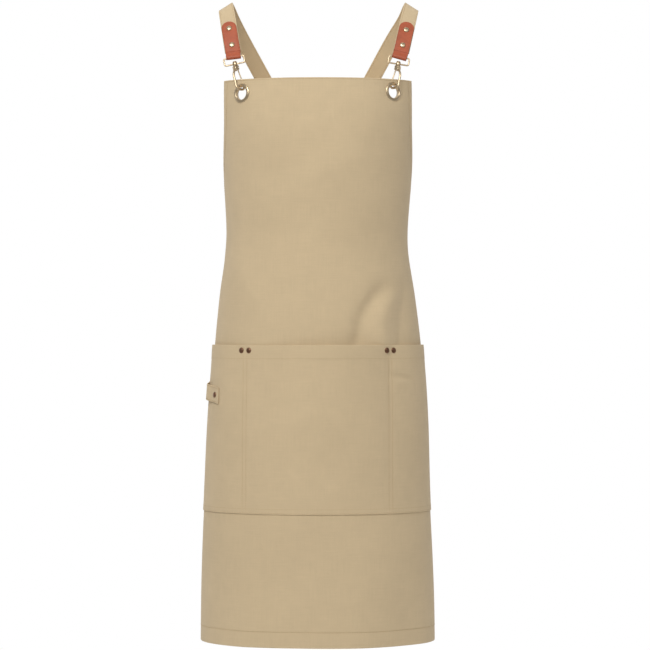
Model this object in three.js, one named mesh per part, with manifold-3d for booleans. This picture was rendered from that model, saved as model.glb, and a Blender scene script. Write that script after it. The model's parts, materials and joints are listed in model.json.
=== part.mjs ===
// A cross-back bib apron of heavy canvas, as worn: a curved panel with a bib, a wide front pocket,
// a towel loop, and two shoulder straps. Each strap ends in front in a leather tab with a
// rectangular ring and a swivel snap hook clipped in an eyelet of the bib, and behind in a waist
// ring on the opposite corner of the panel, where it doubles back through a slider.
// Millimetres, +Z up, the front faces -Y. The origin is where the straps rest on the shoulders.

import * as THREE from 'three';
import { mergeVertices } from 'three/addons/utils/BufferGeometryUtils.js';
import Module from 'manifold-3d';

const wasm = await Module();
wasm.setup();

// ---- driving dimensions ----

const GAP = 0.3; // air between touching pieces
const FACET = 0.6; // room for the flats of the curved cloth behind a rivet
const CANVAS = 1.2; // thickness of one layer of hemmed canvas
const STRAP_WIDTH = 25;
const STRAP_THICK = 1.6;
const LEATHER = 1.8;

// Sections of the wearer's body under the cloth: an ellipse at each height.
const FORM = [
  { z: -40, width: 156, depth: 92, back: 14 },
  { z: -120, width: 156.2, depth: 105, back: 10 },
  { z: -200, width: 150.5, depth: 116, back: 8 },
  { z: -290, width: 143.5, depth: 112, back: 7 },
  { z: -373, width: 140, depth: 106, back: 5 },
  { z: -450, width: 150.5, depth: 111, back: 4 },
  { z: -530, width: 159.5, depth: 117, back: 3 },
  { z: -650, width: 170, depth: 121, back: 1 },
  { z: -787, width: 175.7, depth: 124, back: 0 },
  { z: -900, width: 179.5, depth: 127, back: 0 },
  { z: -988, width: 181, depth: 128, back: 0 },
  { z: -1060, width: 182, depth: 129, back: 0 },
];

const BIB_TOP = -120;
const WAIST = -375;
const HEM = -988;
const WAIST_HALF = 330; // half the cloth's width below the waist
// The side edge of the bib, as half widths along the cloth at each height.
const BIB_EDGE = [
  [-120, 165], [-163, 171], [-200, 178], [-237, 189], [-275, 206],
  [-312, 229], [-345, 262], [-365, 297], [-375, 330],
];
const FACING_DEEP = 60;

const POCKET_TOP = -529;
const POCKET_BOTTOM = -786;
const POCKET_HALF = 262;
const POCKET_SEAM = 115.5; // divider seams, from the middle along the cloth
const POCKET_SWELL = { middle: 7.5, side: 3.2 }; // how far the mouth stands open between seams

const RIVET = { cap: 4.4, high: 1.8, post: 1.5, hole: 1.8, burr: 4.0, burrThick: 0.8 };
const POCKET_RIVETS = { fromTop: 8, apart: 13.5 };

const EYELET = { across: 124, hole: 10, outer: 15, wall: 0.9, flange: 1.0, washer: 0.6 };

const LOOP = { from: -168.5, to: -230.5, z: -607.5, rise: 9, wide: 26, flat: 16, swell: 7, rivet: -178.5 };

const RING = { wide: 34, high: 14, wire: 2.5, corner: 3 };
const HOOK = { wire: 3.6, throat: 7.3, corner: 4.8, shift: 0.3, base: 7.4, lean: [0.78, 0.62, 0] };
const TAB = { long: 64, wide: 23.4, loop: 3.9, flat: 2.2, taper: 12, waisted: 0.14 };

// Each side of the front, drawn for the wearer's right (-X) and mirrored for the left.
const SIDES = {
  right: { mirror: 1, swivel: [-127.1, -51, -96], crest: -143.7, eyelet: -142, rivets: [-39.5, -66.3] },
  left: { mirror: -1, swivel: [-124.4, -51, -96], crest: -147, eyelet: -139.5, rivets: [-42.0, -66.7] },
};

const SLIDER = { wide: 33, high: 20, bar: 1.8, fromRing: 46 };
const TAIL = 84; // length of strap that is doubled back from the waist ring

// ---- materials ----

function finish(color, roughness, metalness) {
  return new THREE.MeshStandardMaterial({ color, roughness, metalness });
}

const CANVAS_FINISH = finish(0xc4ab80, 0.9, 0);
const LEATHER_FINISH = finish(0xb5653f, 0.55, 0);
const BRASS_FINISH = finish(0xcaa764, 0.28, 1);
const DARK_BRASS_FINISH = finish(0x6d4a32, 0.42, 1);
const STEEL_FINISH = finish(0xa8a8a6, 0.35, 1);

// ---- small geometry helpers ----

const vec = (p) => new THREE.Vector3(p[0], p[1], p[2]);

// A smooth value through [at, value] pairs whose `at` runs downwards.
function smoothThrough(pairs, at) {
  const last = pairs.length - 1;
  let i = 0;
  while (i < last - 1 && at < pairs[i + 1][0]) i += 1;
  const before = pairs[Math.max(i - 1, 0)];
  const here = pairs[i];
  const next = pairs[i + 1];
  const after = pairs[Math.min(i + 2, last)];
  const span = next[0] - here[0];
  const t = (at - here[0]) / span;
  const slopeHere = ((next[1] - before[1]) / (next[0] - before[0])) * span;
  const slopeNext = ((after[1] - here[1]) / (after[0] - here[0])) * span;
  const t2 = t * t;
  const t3 = t2 * t;
  return (2 * t3 - 3 * t2 + 1) * here[1] + (t3 - 2 * t2 + t) * slopeHere
    + (3 * t2 - 2 * t3) * next[1] + (t3 - t2) * slopeNext;
}

function toSolid(geometry) {
  const bare = geometry.clone();
  bare.deleteAttribute('normal');
  bare.deleteAttribute('uv');
  const merged = mergeVertices(bare, 1e-4);
  return new wasm.Manifold(new wasm.Mesh({
    numProp: 3,
    vertProperties: new Float32Array(merged.attributes.position.array),
    triVerts: new Uint32Array(merged.index.array),
  }));
}

function toGeometry(solid) {
  const mesh = solid.getMesh();
  const geometry = new THREE.BufferGeometry();
  geometry.setAttribute('position', new THREE.BufferAttribute(mesh.vertProperties, 3));
  geometry.setIndex(new THREE.BufferAttribute(mesh.triVerts, 1));
  geometry.computeVertexNormals();
  return geometry;
}

function cut(geometry, tools) {
  return toGeometry(tools.reduce((solid, tool) => solid.subtract(toSolid(tool)), toSolid(geometry)));
}

function join(geometries) {
  return toGeometry(geometries.slice(1).reduce((solid, g) => solid.add(toSolid(g)), toSolid(geometries[0])));
}

// A closed sheet from a grid of points on its two faces: at(column, row, face), face 0 or 1.
function sheet(columns, rows, at) {
  const positions = [];
  const number = (i, j, face) => (face * rows + j) * columns + i;
  for (const face of [0, 1]) {
    for (let j = 0; j < rows; j += 1) {
      for (let i = 0; i < columns; i += 1) positions.push(...at(i, j, face).toArray());
    }
  }
  const faces = [];
  const quad = (a, b, c, d) => faces.push(a, b, c, a, c, d);
  for (let j = 0; j < rows - 1; j += 1) {
    for (let i = 0; i < columns - 1; i += 1) {
      quad(number(i, j, 1), number(i, j + 1, 1), number(i + 1, j + 1, 1), number(i + 1, j, 1));
      quad(number(i, j, 0), number(i + 1, j, 0), number(i + 1, j + 1, 0), number(i, j + 1, 0));
    }
  }
  const edge = (i, j, k, l) => quad(number(i, j, 0), number(i, j, 1), number(k, l, 1), number(k, l, 0));
  for (let i = 0; i < columns - 1; i += 1) {
    edge(i, 0, i + 1, 0);
    edge(i + 1, rows - 1, i, rows - 1);
  }
  for (let j = 0; j < rows - 1; j += 1) {
    edge(0, j + 1, 0, j);
    edge(columns - 1, j, columns - 1, j + 1);
  }
  const geometry = new THREE.BufferGeometry();
  geometry.setAttribute('position', new THREE.Float32BufferAttribute(positions, 3));
  geometry.setIndex(faces);
  return geometry;
}

// A flat strip along stations { point, across, out, half }, whose `out` is across x direction.
function ribbon(stations, thick) {
  return sheet(2, stations.length, (i, j, face) => {
    const { point, across, out, half } = stations[j];
    const side = i === 0 ? half : -half;
    return point.clone().addScaledVector(across, side).addScaledVector(out, (face - 0.5) * thick);
  });
}

// A frame at a point whose local +Z is `up` and whose local +X is as near `side` as it can be.
function placed(point, up, side) {
  const z = up.clone().normalize();
  const x = side.clone().addScaledVector(z, -side.dot(z)).normalize();
  const y = new THREE.Vector3().crossVectors(z, x);
  return new THREE.Matrix4().makeBasis(x, y, z).setPosition(point);
}

function rod(radius, from, to, sides = 12) {
  const a = vec(from);
  const b = vec(to);
  const geometry = new THREE.CylinderGeometry(radius, radius, a.distanceTo(b), sides);
  geometry.rotateX(Math.PI / 2);
  const middle = a.clone().add(b).multiplyScalar(0.5);
  const up = b.clone().sub(a);
  const lying = Math.abs(up.clone().normalize().x) > 0.9;
  const side = lying ? new THREE.Vector3(0, 1, 0) : new THREE.Vector3(1, 0, 0);
  return geometry.applyMatrix4(placed(middle, up, side));
}

function wire(points, radius, steps, sides = 8) {
  const path = new THREE.CatmullRomCurve3(points.map(vec), false, 'centripetal');
  const section = new THREE.Shape();
  section.absarc(0, 0, radius, 0, Math.PI * 2);
  return new THREE.ExtrudeGeometry(section, { steps, extrudePath: path, curveSegments: sides / 2 });
}

function lathe(profile, segments) {
  const geometry = new THREE.LatheGeometry(profile.map(([r, z]) => new THREE.Vector2(r, z)), segments);
  geometry.rotateX(Math.PI / 2);
  return geometry;
}

// ---- the wearer's form ----

function sectionAt(z) {
  const read = (key) => smoothThrough(FORM.map((row) => [row.z, row[key]]), z);
  return { width: read('width'), depth: read('depth'), back: read('back') };
}

const ARC_STEPS = 120;

// The angle from the middle of the front at a distance `along` the cloth, at height z.
function angleAt(along, section) {
  const step = Math.PI / ARC_STEPS;
  const target = Math.abs(along);
  let travelled = 0;
  let angle = 0;
  while (travelled < target && angle < Math.PI) {
    const middle = angle + step / 2;
    const speed = Math.hypot(section.width * Math.cos(middle), section.depth * Math.sin(middle));
    if (travelled + speed * step > target) {
      angle += (target - travelled) / speed;
      break;
    }
    travelled += speed * step;
    angle += step;
  }
  return angle * Math.sign(along);
}

function formPoint(along, z) {
  const section = sectionAt(z);
  const angle = angleAt(along, section);
  return new THREE.Vector3(
    section.width * Math.sin(angle),
    section.back - section.depth * Math.cos(angle),
    z,
  );
}

function formNormal(along, z) {
  const sideways = formPoint(along + 2, z).sub(formPoint(along - 2, z));
  const down = formPoint(along, z - 4).sub(formPoint(along, z + 4));
  return down.cross(sideways).normalize();
}

function onForm(along, z, off) {
  return formPoint(along, z).addScaledVector(formNormal(along, z), off);
}

// A frame on the cloth: local +Z points out of it.
function clothFrame(along, z, off) {
  const up = formNormal(along, z);
  return placed(onForm(along, z, off), up, new THREE.Vector3(0, 0, -1).cross(up));
}

// ---- the panel, its facing and the pocket ----

const HALF_SHARES = [0, 0.09, 0.18, 0.275, 0.365, 0.45, 0.53, 0.6, 0.665, 0.73, 0.794, 0.87, 0.935, 1];
const SHARES = [...HALF_SHARES.slice(1).reverse().map((s) => -s), ...HALF_SHARES];
const ROWS = [
  -120, -140, -160, -180, -209, -240, -272, -300, -324, -343, -359, -369, -375,
  -410, -450, -490, -529, -570, -615, -660, -705, -745, -786, -850, -915, -988,
];

function halfWidthAt(z) {
  return z < WAIST ? WAIST_HALF : smoothThrough(BIB_EDGE, z);
}

function clothLayer(shares, rows, offAt, thick) {
  return sheet(shares.length, rows.length, (i, j, face) => {
    const along = shares[i] * halfWidthAt(rows[j]);
    return onForm(along, rows[j], offAt(along, rows[j]) + face * thick);
  });
}

function clothHole(radius, along, z) {
  return rod(radius, [0, 0, -12], [0, 0, 12], 16).applyMatrix4(clothFrame(along, z, 0));
}

const rivetPlaces = [-1, 1].flatMap((side) => [-1, 1].map((way) => ({
  along: side * POCKET_SEAM + way * POCKET_RIVETS.apart / 2,
  z: POCKET_TOP - POCKET_RIVETS.fromTop,
})));
const LOOP_TILT = LOOP.rise / (LOOP.from - LOOP.to);
const loopHeight = (along) => LOOP.z + (LOOP.from - along) * LOOP_TILT;
const loopRivet = { along: LOOP.rivet, z: loopHeight(LOOP.rivet) };

const eyeletHoles = Object.values(SIDES).map((side) =>
  clothHole(EYELET.hole + EYELET.wall + GAP, -side.mirror * EYELET.across, side.eyelet));
const pocketRivetHoles = rivetPlaces.map(({ along, z }) => clothHole(RIVET.hole, along, z));
const loopRivetHole = clothHole(RIVET.hole, loopRivet.along, loopRivet.z);

function apronPanel() {
  const plain = clothLayer(SHARES, ROWS, () => 0, CANVAS);
  return cut(plain, [...eyeletHoles, ...pocketRivetHoles]);
}

function bibFacing() {
  const inset = 0.97;
  const shares = SHARES.map((share) => share * inset);
  const rows = ROWS.filter((z) => z >= BIB_TOP - FACING_DEEP).map((z) => (z === BIB_TOP ? z - 1 : z));
  return cut(clothLayer(shares, rows, () => -GAP - CANVAS, CANVAS), eyeletHoles);
}

const POCKET_OFF = CANVAS + GAP;

// How far the pocket stands off the panel: closed at its seams, open at the mouth.
function pocketStand(along, z) {
  const inner = Math.abs(along) < POCKET_SEAM;
  const span = inner ? 2 * POCKET_SEAM : POCKET_HALF - POCKET_SEAM;
  const start = inner ? -POCKET_SEAM : POCKET_SEAM;
  const share = Math.min(Math.max(((inner ? along : Math.abs(along)) - start) / span, 0), 1);
  const across = inner ? Math.sin(Math.PI * share) : Math.sin(Math.PI * share ** 0.9);
  const up = Math.max((z - POCKET_BOTTOM) / (POCKET_TOP - POCKET_BOTTOM), 0);
  const swell = inner ? POCKET_SWELL.middle : POCKET_SWELL.side;
  return POCKET_OFF + swell * across * Math.sin(Math.PI / 2 * up);
}

function pocketPanel() {
  const shares = SHARES.filter((share) => Math.abs(share) <= POCKET_HALF / WAIST_HALF + 0.001);
  const rows = ROWS.filter((z) => z <= POCKET_TOP && z >= POCKET_BOTTOM);
  return cut(clothLayer(shares, rows, pocketStand, CANVAS), [...pocketRivetHoles, loopRivetHole]);
}

// The towel loop: flat where it is sewn at its two ends, standing off between them.
function towelLoop() {
  const steps = 24;
  const half = (LOOP.wide - 1) / 2;
  const geometry = sheet(2, steps + 1, (i, j, face) => {
    const along = LOOP.from + (LOOP.to - LOOP.from) * (j / steps);
    const free = (LOOP.from - LOOP.flat - along) / (LOOP.from - LOOP.flat - LOOP.to - LOOP.flat / 2);
    const lift = LOOP.swell * Math.sin(Math.PI * Math.min(Math.max(free, 0), 1)) ** 2;
    const z = loopHeight(along) + (i === 0 ? half : -half);
    const off = pocketStand(along, loopHeight(along)) + CANVAS + 2 * GAP + lift;
    return onForm(along, z, off + face * CANVAS);
  });
  return cut(geometry, [loopRivetHole]);
}

// ---- rivets and eyelets, in a frame whose +Z points out of the cloth ----

// A domed cap with its post through layers `deep` thick in all.
function rivetCap(deep) {
  const { cap, high, post, burrThick } = RIVET;
  const end = -deep - burrThick - GAP;
  return lathe([
    [0, end], [post, end], [post, 0], [cap, 0], [cap, high * 0.35],
    [cap * 0.7, high * 0.85], [0, high],
  ], 10);
}

// The burr pressed on the far end of the post.
function rivetBurr(deep) {
  const { burr, burrThick, hole } = RIVET;
  const low = -deep - burrThick;
  return lathe([[hole, low], [burr, low], [burr, -deep], [hole, -deep], [hole, low]], 10);
}

const EYELET_FRONT = CANVAS + GAP;
const EYELET_BACK = -2 * GAP - CANVAS - 1; // clear of the hollow side of the curved cloth

function eyeletGrommet() {
  const { hole, outer, wall, flange } = EYELET;
  const front = EYELET_FRONT;
  const end = EYELET_BACK - EYELET.washer - GAP;
  return lathe([
    [hole, end], [hole + wall, end], [hole + wall, front], [outer, front],
    [outer - 0.8, front + flange], [hole + 2, front + flange * 1.4], [hole, front + flange * 0.6],
    [hole, end],
  ], 18);
}

function eyeletWasher() {
  const { hole, outer, wall, washer } = EYELET;
  const inner = hole + wall + GAP;
  const low = EYELET_BACK - washer;
  return lathe([[inner, low], [outer, low], [outer, EYELET_BACK], [inner, EYELET_BACK], [inner, low]], 18);
}

// ---- the waist rings: the frame of the one at the wearer's left ----

const WAIST_RING = { along: 316, z: -352 };
const RING_REACH = RING.high - RING.wire; // between the middles of its two bars

// The lower bar's middle, +up along the strap and +out away from the back.
function waistRingFrame() {
  const bar = onForm(WAIST_RING.along, WAIST_RING.z, CANVAS / 2);
  const facing = formNormal(WAIST_RING.along, WAIST_RING.z);
  const crossing = new THREE.Vector3(0, 118, -250);
  const up = crossing.sub(bar).normalize();
  const across = facing.clone().cross(up).normalize();
  return { bar, up, across, out: up.clone().cross(across).normalize() };
}

const waistRing = waistRingFrame();
const upperBar = waistRing.bar.clone().addScaledVector(waistRing.up, RING_REACH);
const onStrap = (up, out) =>
  upperBar.clone().addScaledVector(waistRing.up, up).addScaledVector(waistRing.out, out);

// ---- the straps ----

const LOOP_OFF = RING.wire / 2 + 3 * GAP + STRAP_THICK / 2; // strap round a ring's bar
const PAIR_OFF = STRAP_THICK / 2 + GAP; // strap beside its own tail
const CROSSING = -upperBar.x / waistRing.up.x; // from the ring to where the straps cross

const frontX = (side, z) => side.swivel[0] + (side.crest - side.swivel[0]) * (1 - z / side.swivel[2]);

// The strap's front stretch, from its end in the leather tab up to the shoulder.
function frontLine(side) {
  return [
    { at: [frontX(side, -77), -43.6, -77], across: [0.98, 0.02, 0.19] },
    { at: [frontX(side, -58), -35.4, -58], across: [0.98, 0.02, 0.19] },
    { at: [frontX(side, -38), -25.4, -38], across: [0.975, 0, 0.22] },
    { at: [frontX(side, -18), -12.6, -18], across: [0.94, 0, 0.33] },
    { at: [frontX(side, -5), 0, -5], across: [0.88, 0, 0.47] },
  ];
}

// The whole strap, drawn from the wearer's right shoulder to the left of the waist.
function strapLine(side, lift) {
  const { crest } = side;
  const flat = waistRing.across.toArray();
  return [
    ...frontLine(side),
    { at: [crest, 13, -0.5], across: [0.84, 0, 0.54] },
    { at: [crest + 3, 27, -5], across: [0.84, 0.04, 0.54] },
    { at: [crest + 9, 42, -18], across: [0.84, 0.08, 0.53] },
    { at: [-119, 64, -48], across: [0.85, 0.1, 0.52] },
    { at: [-88, 88, -104], across: [0.85, 0.12, 0.5] },
    { at: [-45, 109 + lift, -176], across: [0.86, 0.08, 0.5] },
    { at: onStrap(CROSSING, lift - PAIR_OFF).toArray(), across: [0.87, 0, 0.49] },
    { at: onStrap(74, -PAIR_OFF).toArray(), across: flat },
    { at: onStrap(50, -PAIR_OFF).toArray(), across: flat },
    { at: onStrap(24, -PAIR_OFF).toArray(), across: flat },
    { at: onStrap(1, -LOOP_OFF).toArray(), across: flat },
  ];
}

function stationsAlong(line, steps, half) {
  const path = new THREE.CatmullRomCurve3(line.map((row) => vec(row.at)), false, 'centripetal');
  const guide = new THREE.CatmullRomCurve3(line.map((row) => vec(row.across)), false, 'centripetal');
  return Array.from({ length: steps + 1 }, (_, i) => {
    const point = path.getPoint(i / steps);
    const tangent = path.getTangent(i / steps);
    const across = guide.getPoint(i / steps);
    across.addScaledVector(tangent, -across.dot(tangent)).normalize();
    return { point, across, out: across.clone().cross(tangent).normalize(), half };
  });
}

// Stations half way round a bar, from its `out` side over its `down` side to its other side.
function roundBar(centre, out, down, across, radius, half, facing) {
  return [1, 2, 3, 4, 5, 6, 7].map((k) => {
    const turn = (k / 8) * Math.PI;
    const away = out.clone().multiplyScalar(Math.cos(turn)).addScaledVector(down, Math.sin(turn));
    const point = centre.clone().addScaledVector(away, radius);
    return { point, across, out: away.multiplyScalar(facing), half };
  });
}

function shoulderStrap(side, lift) {
  const { up, across, out } = waistRing;
  const half = STRAP_WIDTH / 2;
  const inward = out.clone().negate();
  const stations = stationsAlong(strapLine(side, lift), 46, half);
  stations.push(...roundBar(upperBar, inward, up.clone().negate(), across, LOOP_OFF, half, -1));
  const tail = [[1, LOOP_OFF], [24, PAIR_OFF], [50, PAIR_OFF], [74, PAIR_OFF], [TAIL, PAIR_OFF + 1]];
  tail.forEach(([high, off]) => stations.push({ point: onStrap(high, off), across, out: inward, half }));
  return stations;
}

// ---- the front hardware, in a frame at the swivel: +Z up the strap ----

// A rectangular wire frame in the XZ plane, its lower bar through the origin.
function wireFrame(wide, high, thick) {
  const outline = (w, h, r) => {
    const path = new THREE.Shape();
    path.moveTo(-w + r, -h);
    path.lineTo(w - r, -h);
    path.absarc(w - r, -h + r, r, -Math.PI / 2, 0);
    path.absarc(w - r, h - r, r, 0, Math.PI / 2);
    path.absarc(-w + r, h - r, r, Math.PI / 2, Math.PI);
    path.absarc(-w + r, -h + r, r, Math.PI, Math.PI * 1.5);
    return path;
  };
  const shape = outline(wide / 2, high / 2, RING.corner);
  shape.holes.push(outline(wide / 2 - thick, high / 2 - thick, RING.corner - thick / 2));
  const geometry = new THREE.ExtrudeGeometry(shape, { depth: thick, bevelEnabled: false, curveSegments: 3 });
  geometry.translate(0, (high - thick) / 2, -thick / 2);
  return geometry.rotateX(Math.PI / 2);
}

const POST = 2; // radius of the swivel post
const COLLAR = { outer: 3.6, half: 2.4 };

function strapRing() {
  const frame = wireFrame(RING.wide, RING.high, RING.wire);
  const collar = rod(COLLAR.outer, [0, 0, -COLLAR.half], [0, 0, COLLAR.half], 16);
  return cut(join([frame, collar]), [rod(POST + GAP, [0, 0, -5], [0, 0, 5], 16)]);
}

const PIN = { at: [2.2, 0, -7.4], radius: 0.7, half: 3.6 };
const SLOT = 2.3; // half width of the slot for the gate's eye and spring

// The hook: a headed swivel post, a slotted base, the spine and the bow at the bottom.
function hookBody(reach) {
  const { wire: thick, throat, shift, base } = HOOK;
  const bow = -reach + throat;
  const corner = (way, k) => {
    const turn = Math.PI * 1.5 + way * (k / 6) * Math.PI;
    const middle = shift + way * (throat - HOOK.corner);
    return [middle + HOOK.corner * Math.cos(turn), 0, -reach + HOOK.corner * (1 + Math.sin(turn))];
  };
  const bend = [...[3, 2, 1, 0].map((k) => corner(-1, k)), ...[0, 1, 2, 3].map((k) => corner(1, k))];
  const spine = [[-1.6, 0, -8], [-4.2, 0, -11.5], [-7.2, 0, -17.5], [shift - throat, 0, bow + 4]];
  const tip = [[shift + throat, 0, bow + 0.6], [shift + throat - 0.3, 0, bow + 2.6]];
  const post = rod(POST, [0, 0, -5], [0, 0, 4], 14);
  const head = rod(POST + 1.4, [0, 0, COLLAR.half + GAP], [0, 0, COLLAR.half + GAP + 1.8], 14);
  const block = new THREE.BoxGeometry(base, base, 7.2);
  block.translate(0, 0, -6.5);
  const whole = join([head, post, block, wire([...spine, ...bend, ...tip], thick / 2, 26)]);
  const slot = new THREE.BoxGeometry(6.6, 2 * SLOT, 7);
  slot.translate(PIN.at[0] + 1, 0, PIN.at[2] - 1.2);
  return cut(whole, [slot, rod(PIN.radius + GAP, [PIN.at[0], -6, PIN.at[2]], [PIN.at[0], 6, PIN.at[2]], 12)]);
}

const EYE = { radius: 1.9, from: -1.9, to: -0.1 }; // the gate's eye on its pin

function hookGate(reach) {
  const { throat, shift } = HOOK;
  const [x, , z] = PIN.at;
  const eye = rod(EYE.radius, [x, EYE.from, z], [x, EYE.to, z], 14);
  const end = [shift + throat - 0.5, 0, -reach + throat + 4.1];
  const arm = wire([[x, -1, z], [x + 0.6, -0.8, z - 3.4], [x + 1.8, -0.2, z - 8], end], 0.95, 12);
  const hole = rod(PIN.radius + GAP, [x, -6, z], [x, 6, z], 12);
  return cut(join([eye, arm]), [hole]);
}

function gatePin() {
  return rod(PIN.radius, [PIN.at[0], -PIN.half, PIN.at[2]], [PIN.at[0], PIN.half, PIN.at[2]], 10);
}

// A small torsion spring beside the gate's eye.
function gateSpring() {
  const turns = 1.75;
  const points = Array.from({ length: 19 }, (_, k) => {
    const turn = (k / 18) * turns * Math.PI * 2;
    return [PIN.at[0] + 1.35 * Math.cos(turn), 0.5 + k * 0.068, PIN.at[2] + 1.35 * Math.sin(turn)];
  });
  return wire(points, 0.25, 22, 4);
}

// The frame at a side's swivel, and the hook's frame on the same axis.
function hookFrames(side) {
  const swivel = vec(side.swivel);
  const lean = vec(HOOK.lean);
  const hole = onForm(-EYELET.across, side.eyelet, CANVAS / 2);
  const tangent = formNormal(-EYELET.across, side.eyelet).cross(new THREE.Vector3(0, 0, 1)).normalize();
  const rim = EYELET.hole - HOOK.wire / 2 - 6.5 * GAP;
  const pull = Math.PI / 10;
  const bearing = hole.clone().addScaledVector(tangent, rim * Math.sin(pull));
  bearing.z += rim * Math.cos(pull);
  const up = swivel.clone().sub(bearing);
  return {
    reach: up.length(),
    ring: placed(swivel, up, new THREE.Vector3(0.98, 0.02, 0.19)),
    hook: placed(swivel, up, lean),
  };
}

// The leather tab: one strip from its rounded top, down round the ring's bar and up behind.
function tabStations(side, frames) {
  const centre = new THREE.Vector3(0, 0, RING_REACH).applyMatrix4(frames.ring);
  const level = new THREE.Vector3().setFromMatrixColumn(frames.ring, 0);
  const line = [{ at: centre.toArray(), across: level.toArray() }, ...frontLine(side)];
  const path = new THREE.CatmullRomCurve3(line.map((row) => vec(row.at)), false, 'centripetal');
  const length = path.getLength();
  const guide = new THREE.CatmullRomCurve3(line.map((row) => vec(row.across)), false, 'centripetal');
  const station = (along, way) => {
    const t = path.getUtoTmapping(along / length);
    const tangent = path.getTangent(t);
    const across = guide.getPoint(t);
    across.addScaledVector(tangent, -across.dot(tangent)).normalize();
    const out = across.clone().cross(tangent).normalize().multiplyScalar(way);
    const near = THREE.MathUtils.smoothstep(along, 0, TAB.taper);
    const off = TAB.loop + (TAB.flat - TAB.loop) * near;
    const fromTop = TAB.long - along;
    const round = Math.min(fromTop / (TAB.wide / 2), 1);
    const narrow = 1 - TAB.waisted * (1 - near);
    const half = (TAB.wide / 2) * Math.max(Math.sqrt(1 - (1 - round) ** 2), 0.3) * narrow;
    const point = path.getPoint(t).addScaledVector(out, off);
    return { point, across: across.negate(), out, half, tangent };
  };
  const steps = [0, 2, 5, 9, 14, 24, 34, 44, 52, 56, 59.5, 62, TAB.long];
  const front = steps.slice().reverse().map((along) => station(along, 1));
  const behind = steps.map((along) => station(along, -1));
  const low = front[front.length - 1];
  const down = low.tangent.clone().negate();
  const bend = roundBar(centre, low.out, down, low.across, TAB.loop, low.half, 1);
  return { stations: [...front, ...bend, ...behind], station, path, length };
}

function tabRivetFrames(side, tab) {
  return side.rivets.map((height) => {
    let along = 0;
    while (tab.path.getPoint(tab.path.getUtoTmapping(along / tab.length)).z < height) along += 0.25;
    const { point, across, out } = tab.station(along, 1);
    return placed(point.addScaledVector(out, LEATHER / 2 + GAP), out, across.negate());
  });
}

const TAB_DEEP = 2 * TAB.flat + LEATHER + 2 * GAP;

// ---- the waist hardware ----

const WAIST_TAB = { wide: 25, low: 46, off: 3.0, loop: 3.2 };

// A canvas tab folded round the ring's lower bar, one leaf on each face of the panel's corner.
function waistTab() {
  const { bar, up, across, out } = waistRing;
  const heights = [3, 8, 14, 20, 28, 37, WAIST_TAB.low];
  const leaf = (fall, way) => {
    const along = WAIST_RING.along - fall * 0.12;
    const z = WAIST_RING.z - fall;
    const facing = formNormal(along, z);
    const near = THREE.MathUtils.smoothstep(fall, 2, 14);
    const off = WAIST_TAB.loop + (WAIST_TAB.off - WAIST_TAB.loop) * near;
    const swing = across.clone().lerp(new THREE.Vector3(0, 0, 1).cross(facing).negate(), near);
    const level = swing.addScaledVector(facing, -swing.dot(facing)).normalize();
    const point = onForm(along, z, CANVAS / 2 + way * off);
    return { point, across: level.negate(), out: facing.multiplyScalar(way), half: WAIST_TAB.wide / 2 };
  };
  const front = heights.slice().reverse().map((fall) => leaf(fall, 1));
  const behind = heights.map((fall) => leaf(fall, -1));
  const half = WAIST_TAB.wide / 2;
  const bend = roundBar(bar, out, up, across.clone().negate(), WAIST_TAB.loop, half, 1);
  return ribbon([...front, ...bend, ...behind], CANVAS);
}

// The slider: two side rails, a bar in front of the pair of strap layers and two behind them.
function slider() {
  const { wide, high, bar } = SLIDER;
  const reach = PAIR_OFF + STRAP_THICK / 2 + GAP;
  const deep = 2 * (reach + bar);
  const rail = (wide - STRAP_WIDTH) / 2 - 2 * GAP;
  const box = (w, d, h, x, y, z) => new THREE.BoxGeometry(w, d, h).translate(x, y, z);
  const rails = [-1, 1].map((way) => box(rail, deep, high, way * (wide - rail) / 2, 0, 0));
  const front = box(wide - rail, bar, high * 0.34, 0, -reach - bar / 2, 0);
  const behind = [-1, 1].map((way) => (
    box(wide - rail, bar, high * 0.26, 0, reach + bar / 2, way * high * 0.37)));
  return join([...rails, front, ...behind]);
}

// ---- the assembly ----

function piece(name, geometry, material, frame) {
  const mesh = new THREE.Mesh(geometry, material);
  mesh.name = name;
  if (frame) mesh.applyMatrix4(frame);
  return mesh;
}

function frontSide(name, side) {
  const frames = hookFrames(side);
  const tab = tabStations(side, frames);
  const rivets = tabRivetFrames(side, tab);
  const holes = rivets.map((frame) => rod(RIVET.hole, [0, 0, -14], [0, 0, 8], 14).applyMatrix4(frame));
  const lift = side.mirror < 0 ? 5 : 0;
  const group = new THREE.Group();
  group.scale.x = side.mirror;
  group.add(
    piece(`strap_${name}`, cut(ribbon(shoulderStrap(side, lift), STRAP_THICK), holes), CANVAS_FINISH),
    piece(`leather_tab_${name}`, cut(ribbon(tab.stations, LEATHER), holes), LEATHER_FINISH),
    piece(`strap_ring_${name}`, strapRing(), BRASS_FINISH, frames.ring),
    piece(`hook_body_${name}`, hookBody(frames.reach), BRASS_FINISH, frames.hook),
    piece(`hook_gate_${name}`, hookGate(frames.reach), BRASS_FINISH, frames.hook),
    piece(`gate_pin_${name}`, gatePin(), STEEL_FINISH, frames.hook),
    piece(`gate_spring_${name}`, gateSpring(), STEEL_FINISH, frames.hook),
  );
  rivets.forEach((frame, k) => {
    const label = `${['upper', 'lower'][k]}_${name}`;
    group.add(
      piece(`tab_rivet_${label}`, rivetCap(TAB_DEEP), BRASS_FINISH, frame),
      piece(`tab_burr_${label}`, rivetBurr(TAB_DEEP), BRASS_FINISH, frame),
    );
  });
  const cloth = clothFrame(-EYELET.across, side.eyelet, 0);
  group.add(
    piece(`eyelet_${name}`, eyeletGrommet(), BRASS_FINISH, cloth),
    piece(`eyelet_washer_${name}`, eyeletWasher(), BRASS_FINISH, cloth),
  );
  return group;
}

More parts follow.
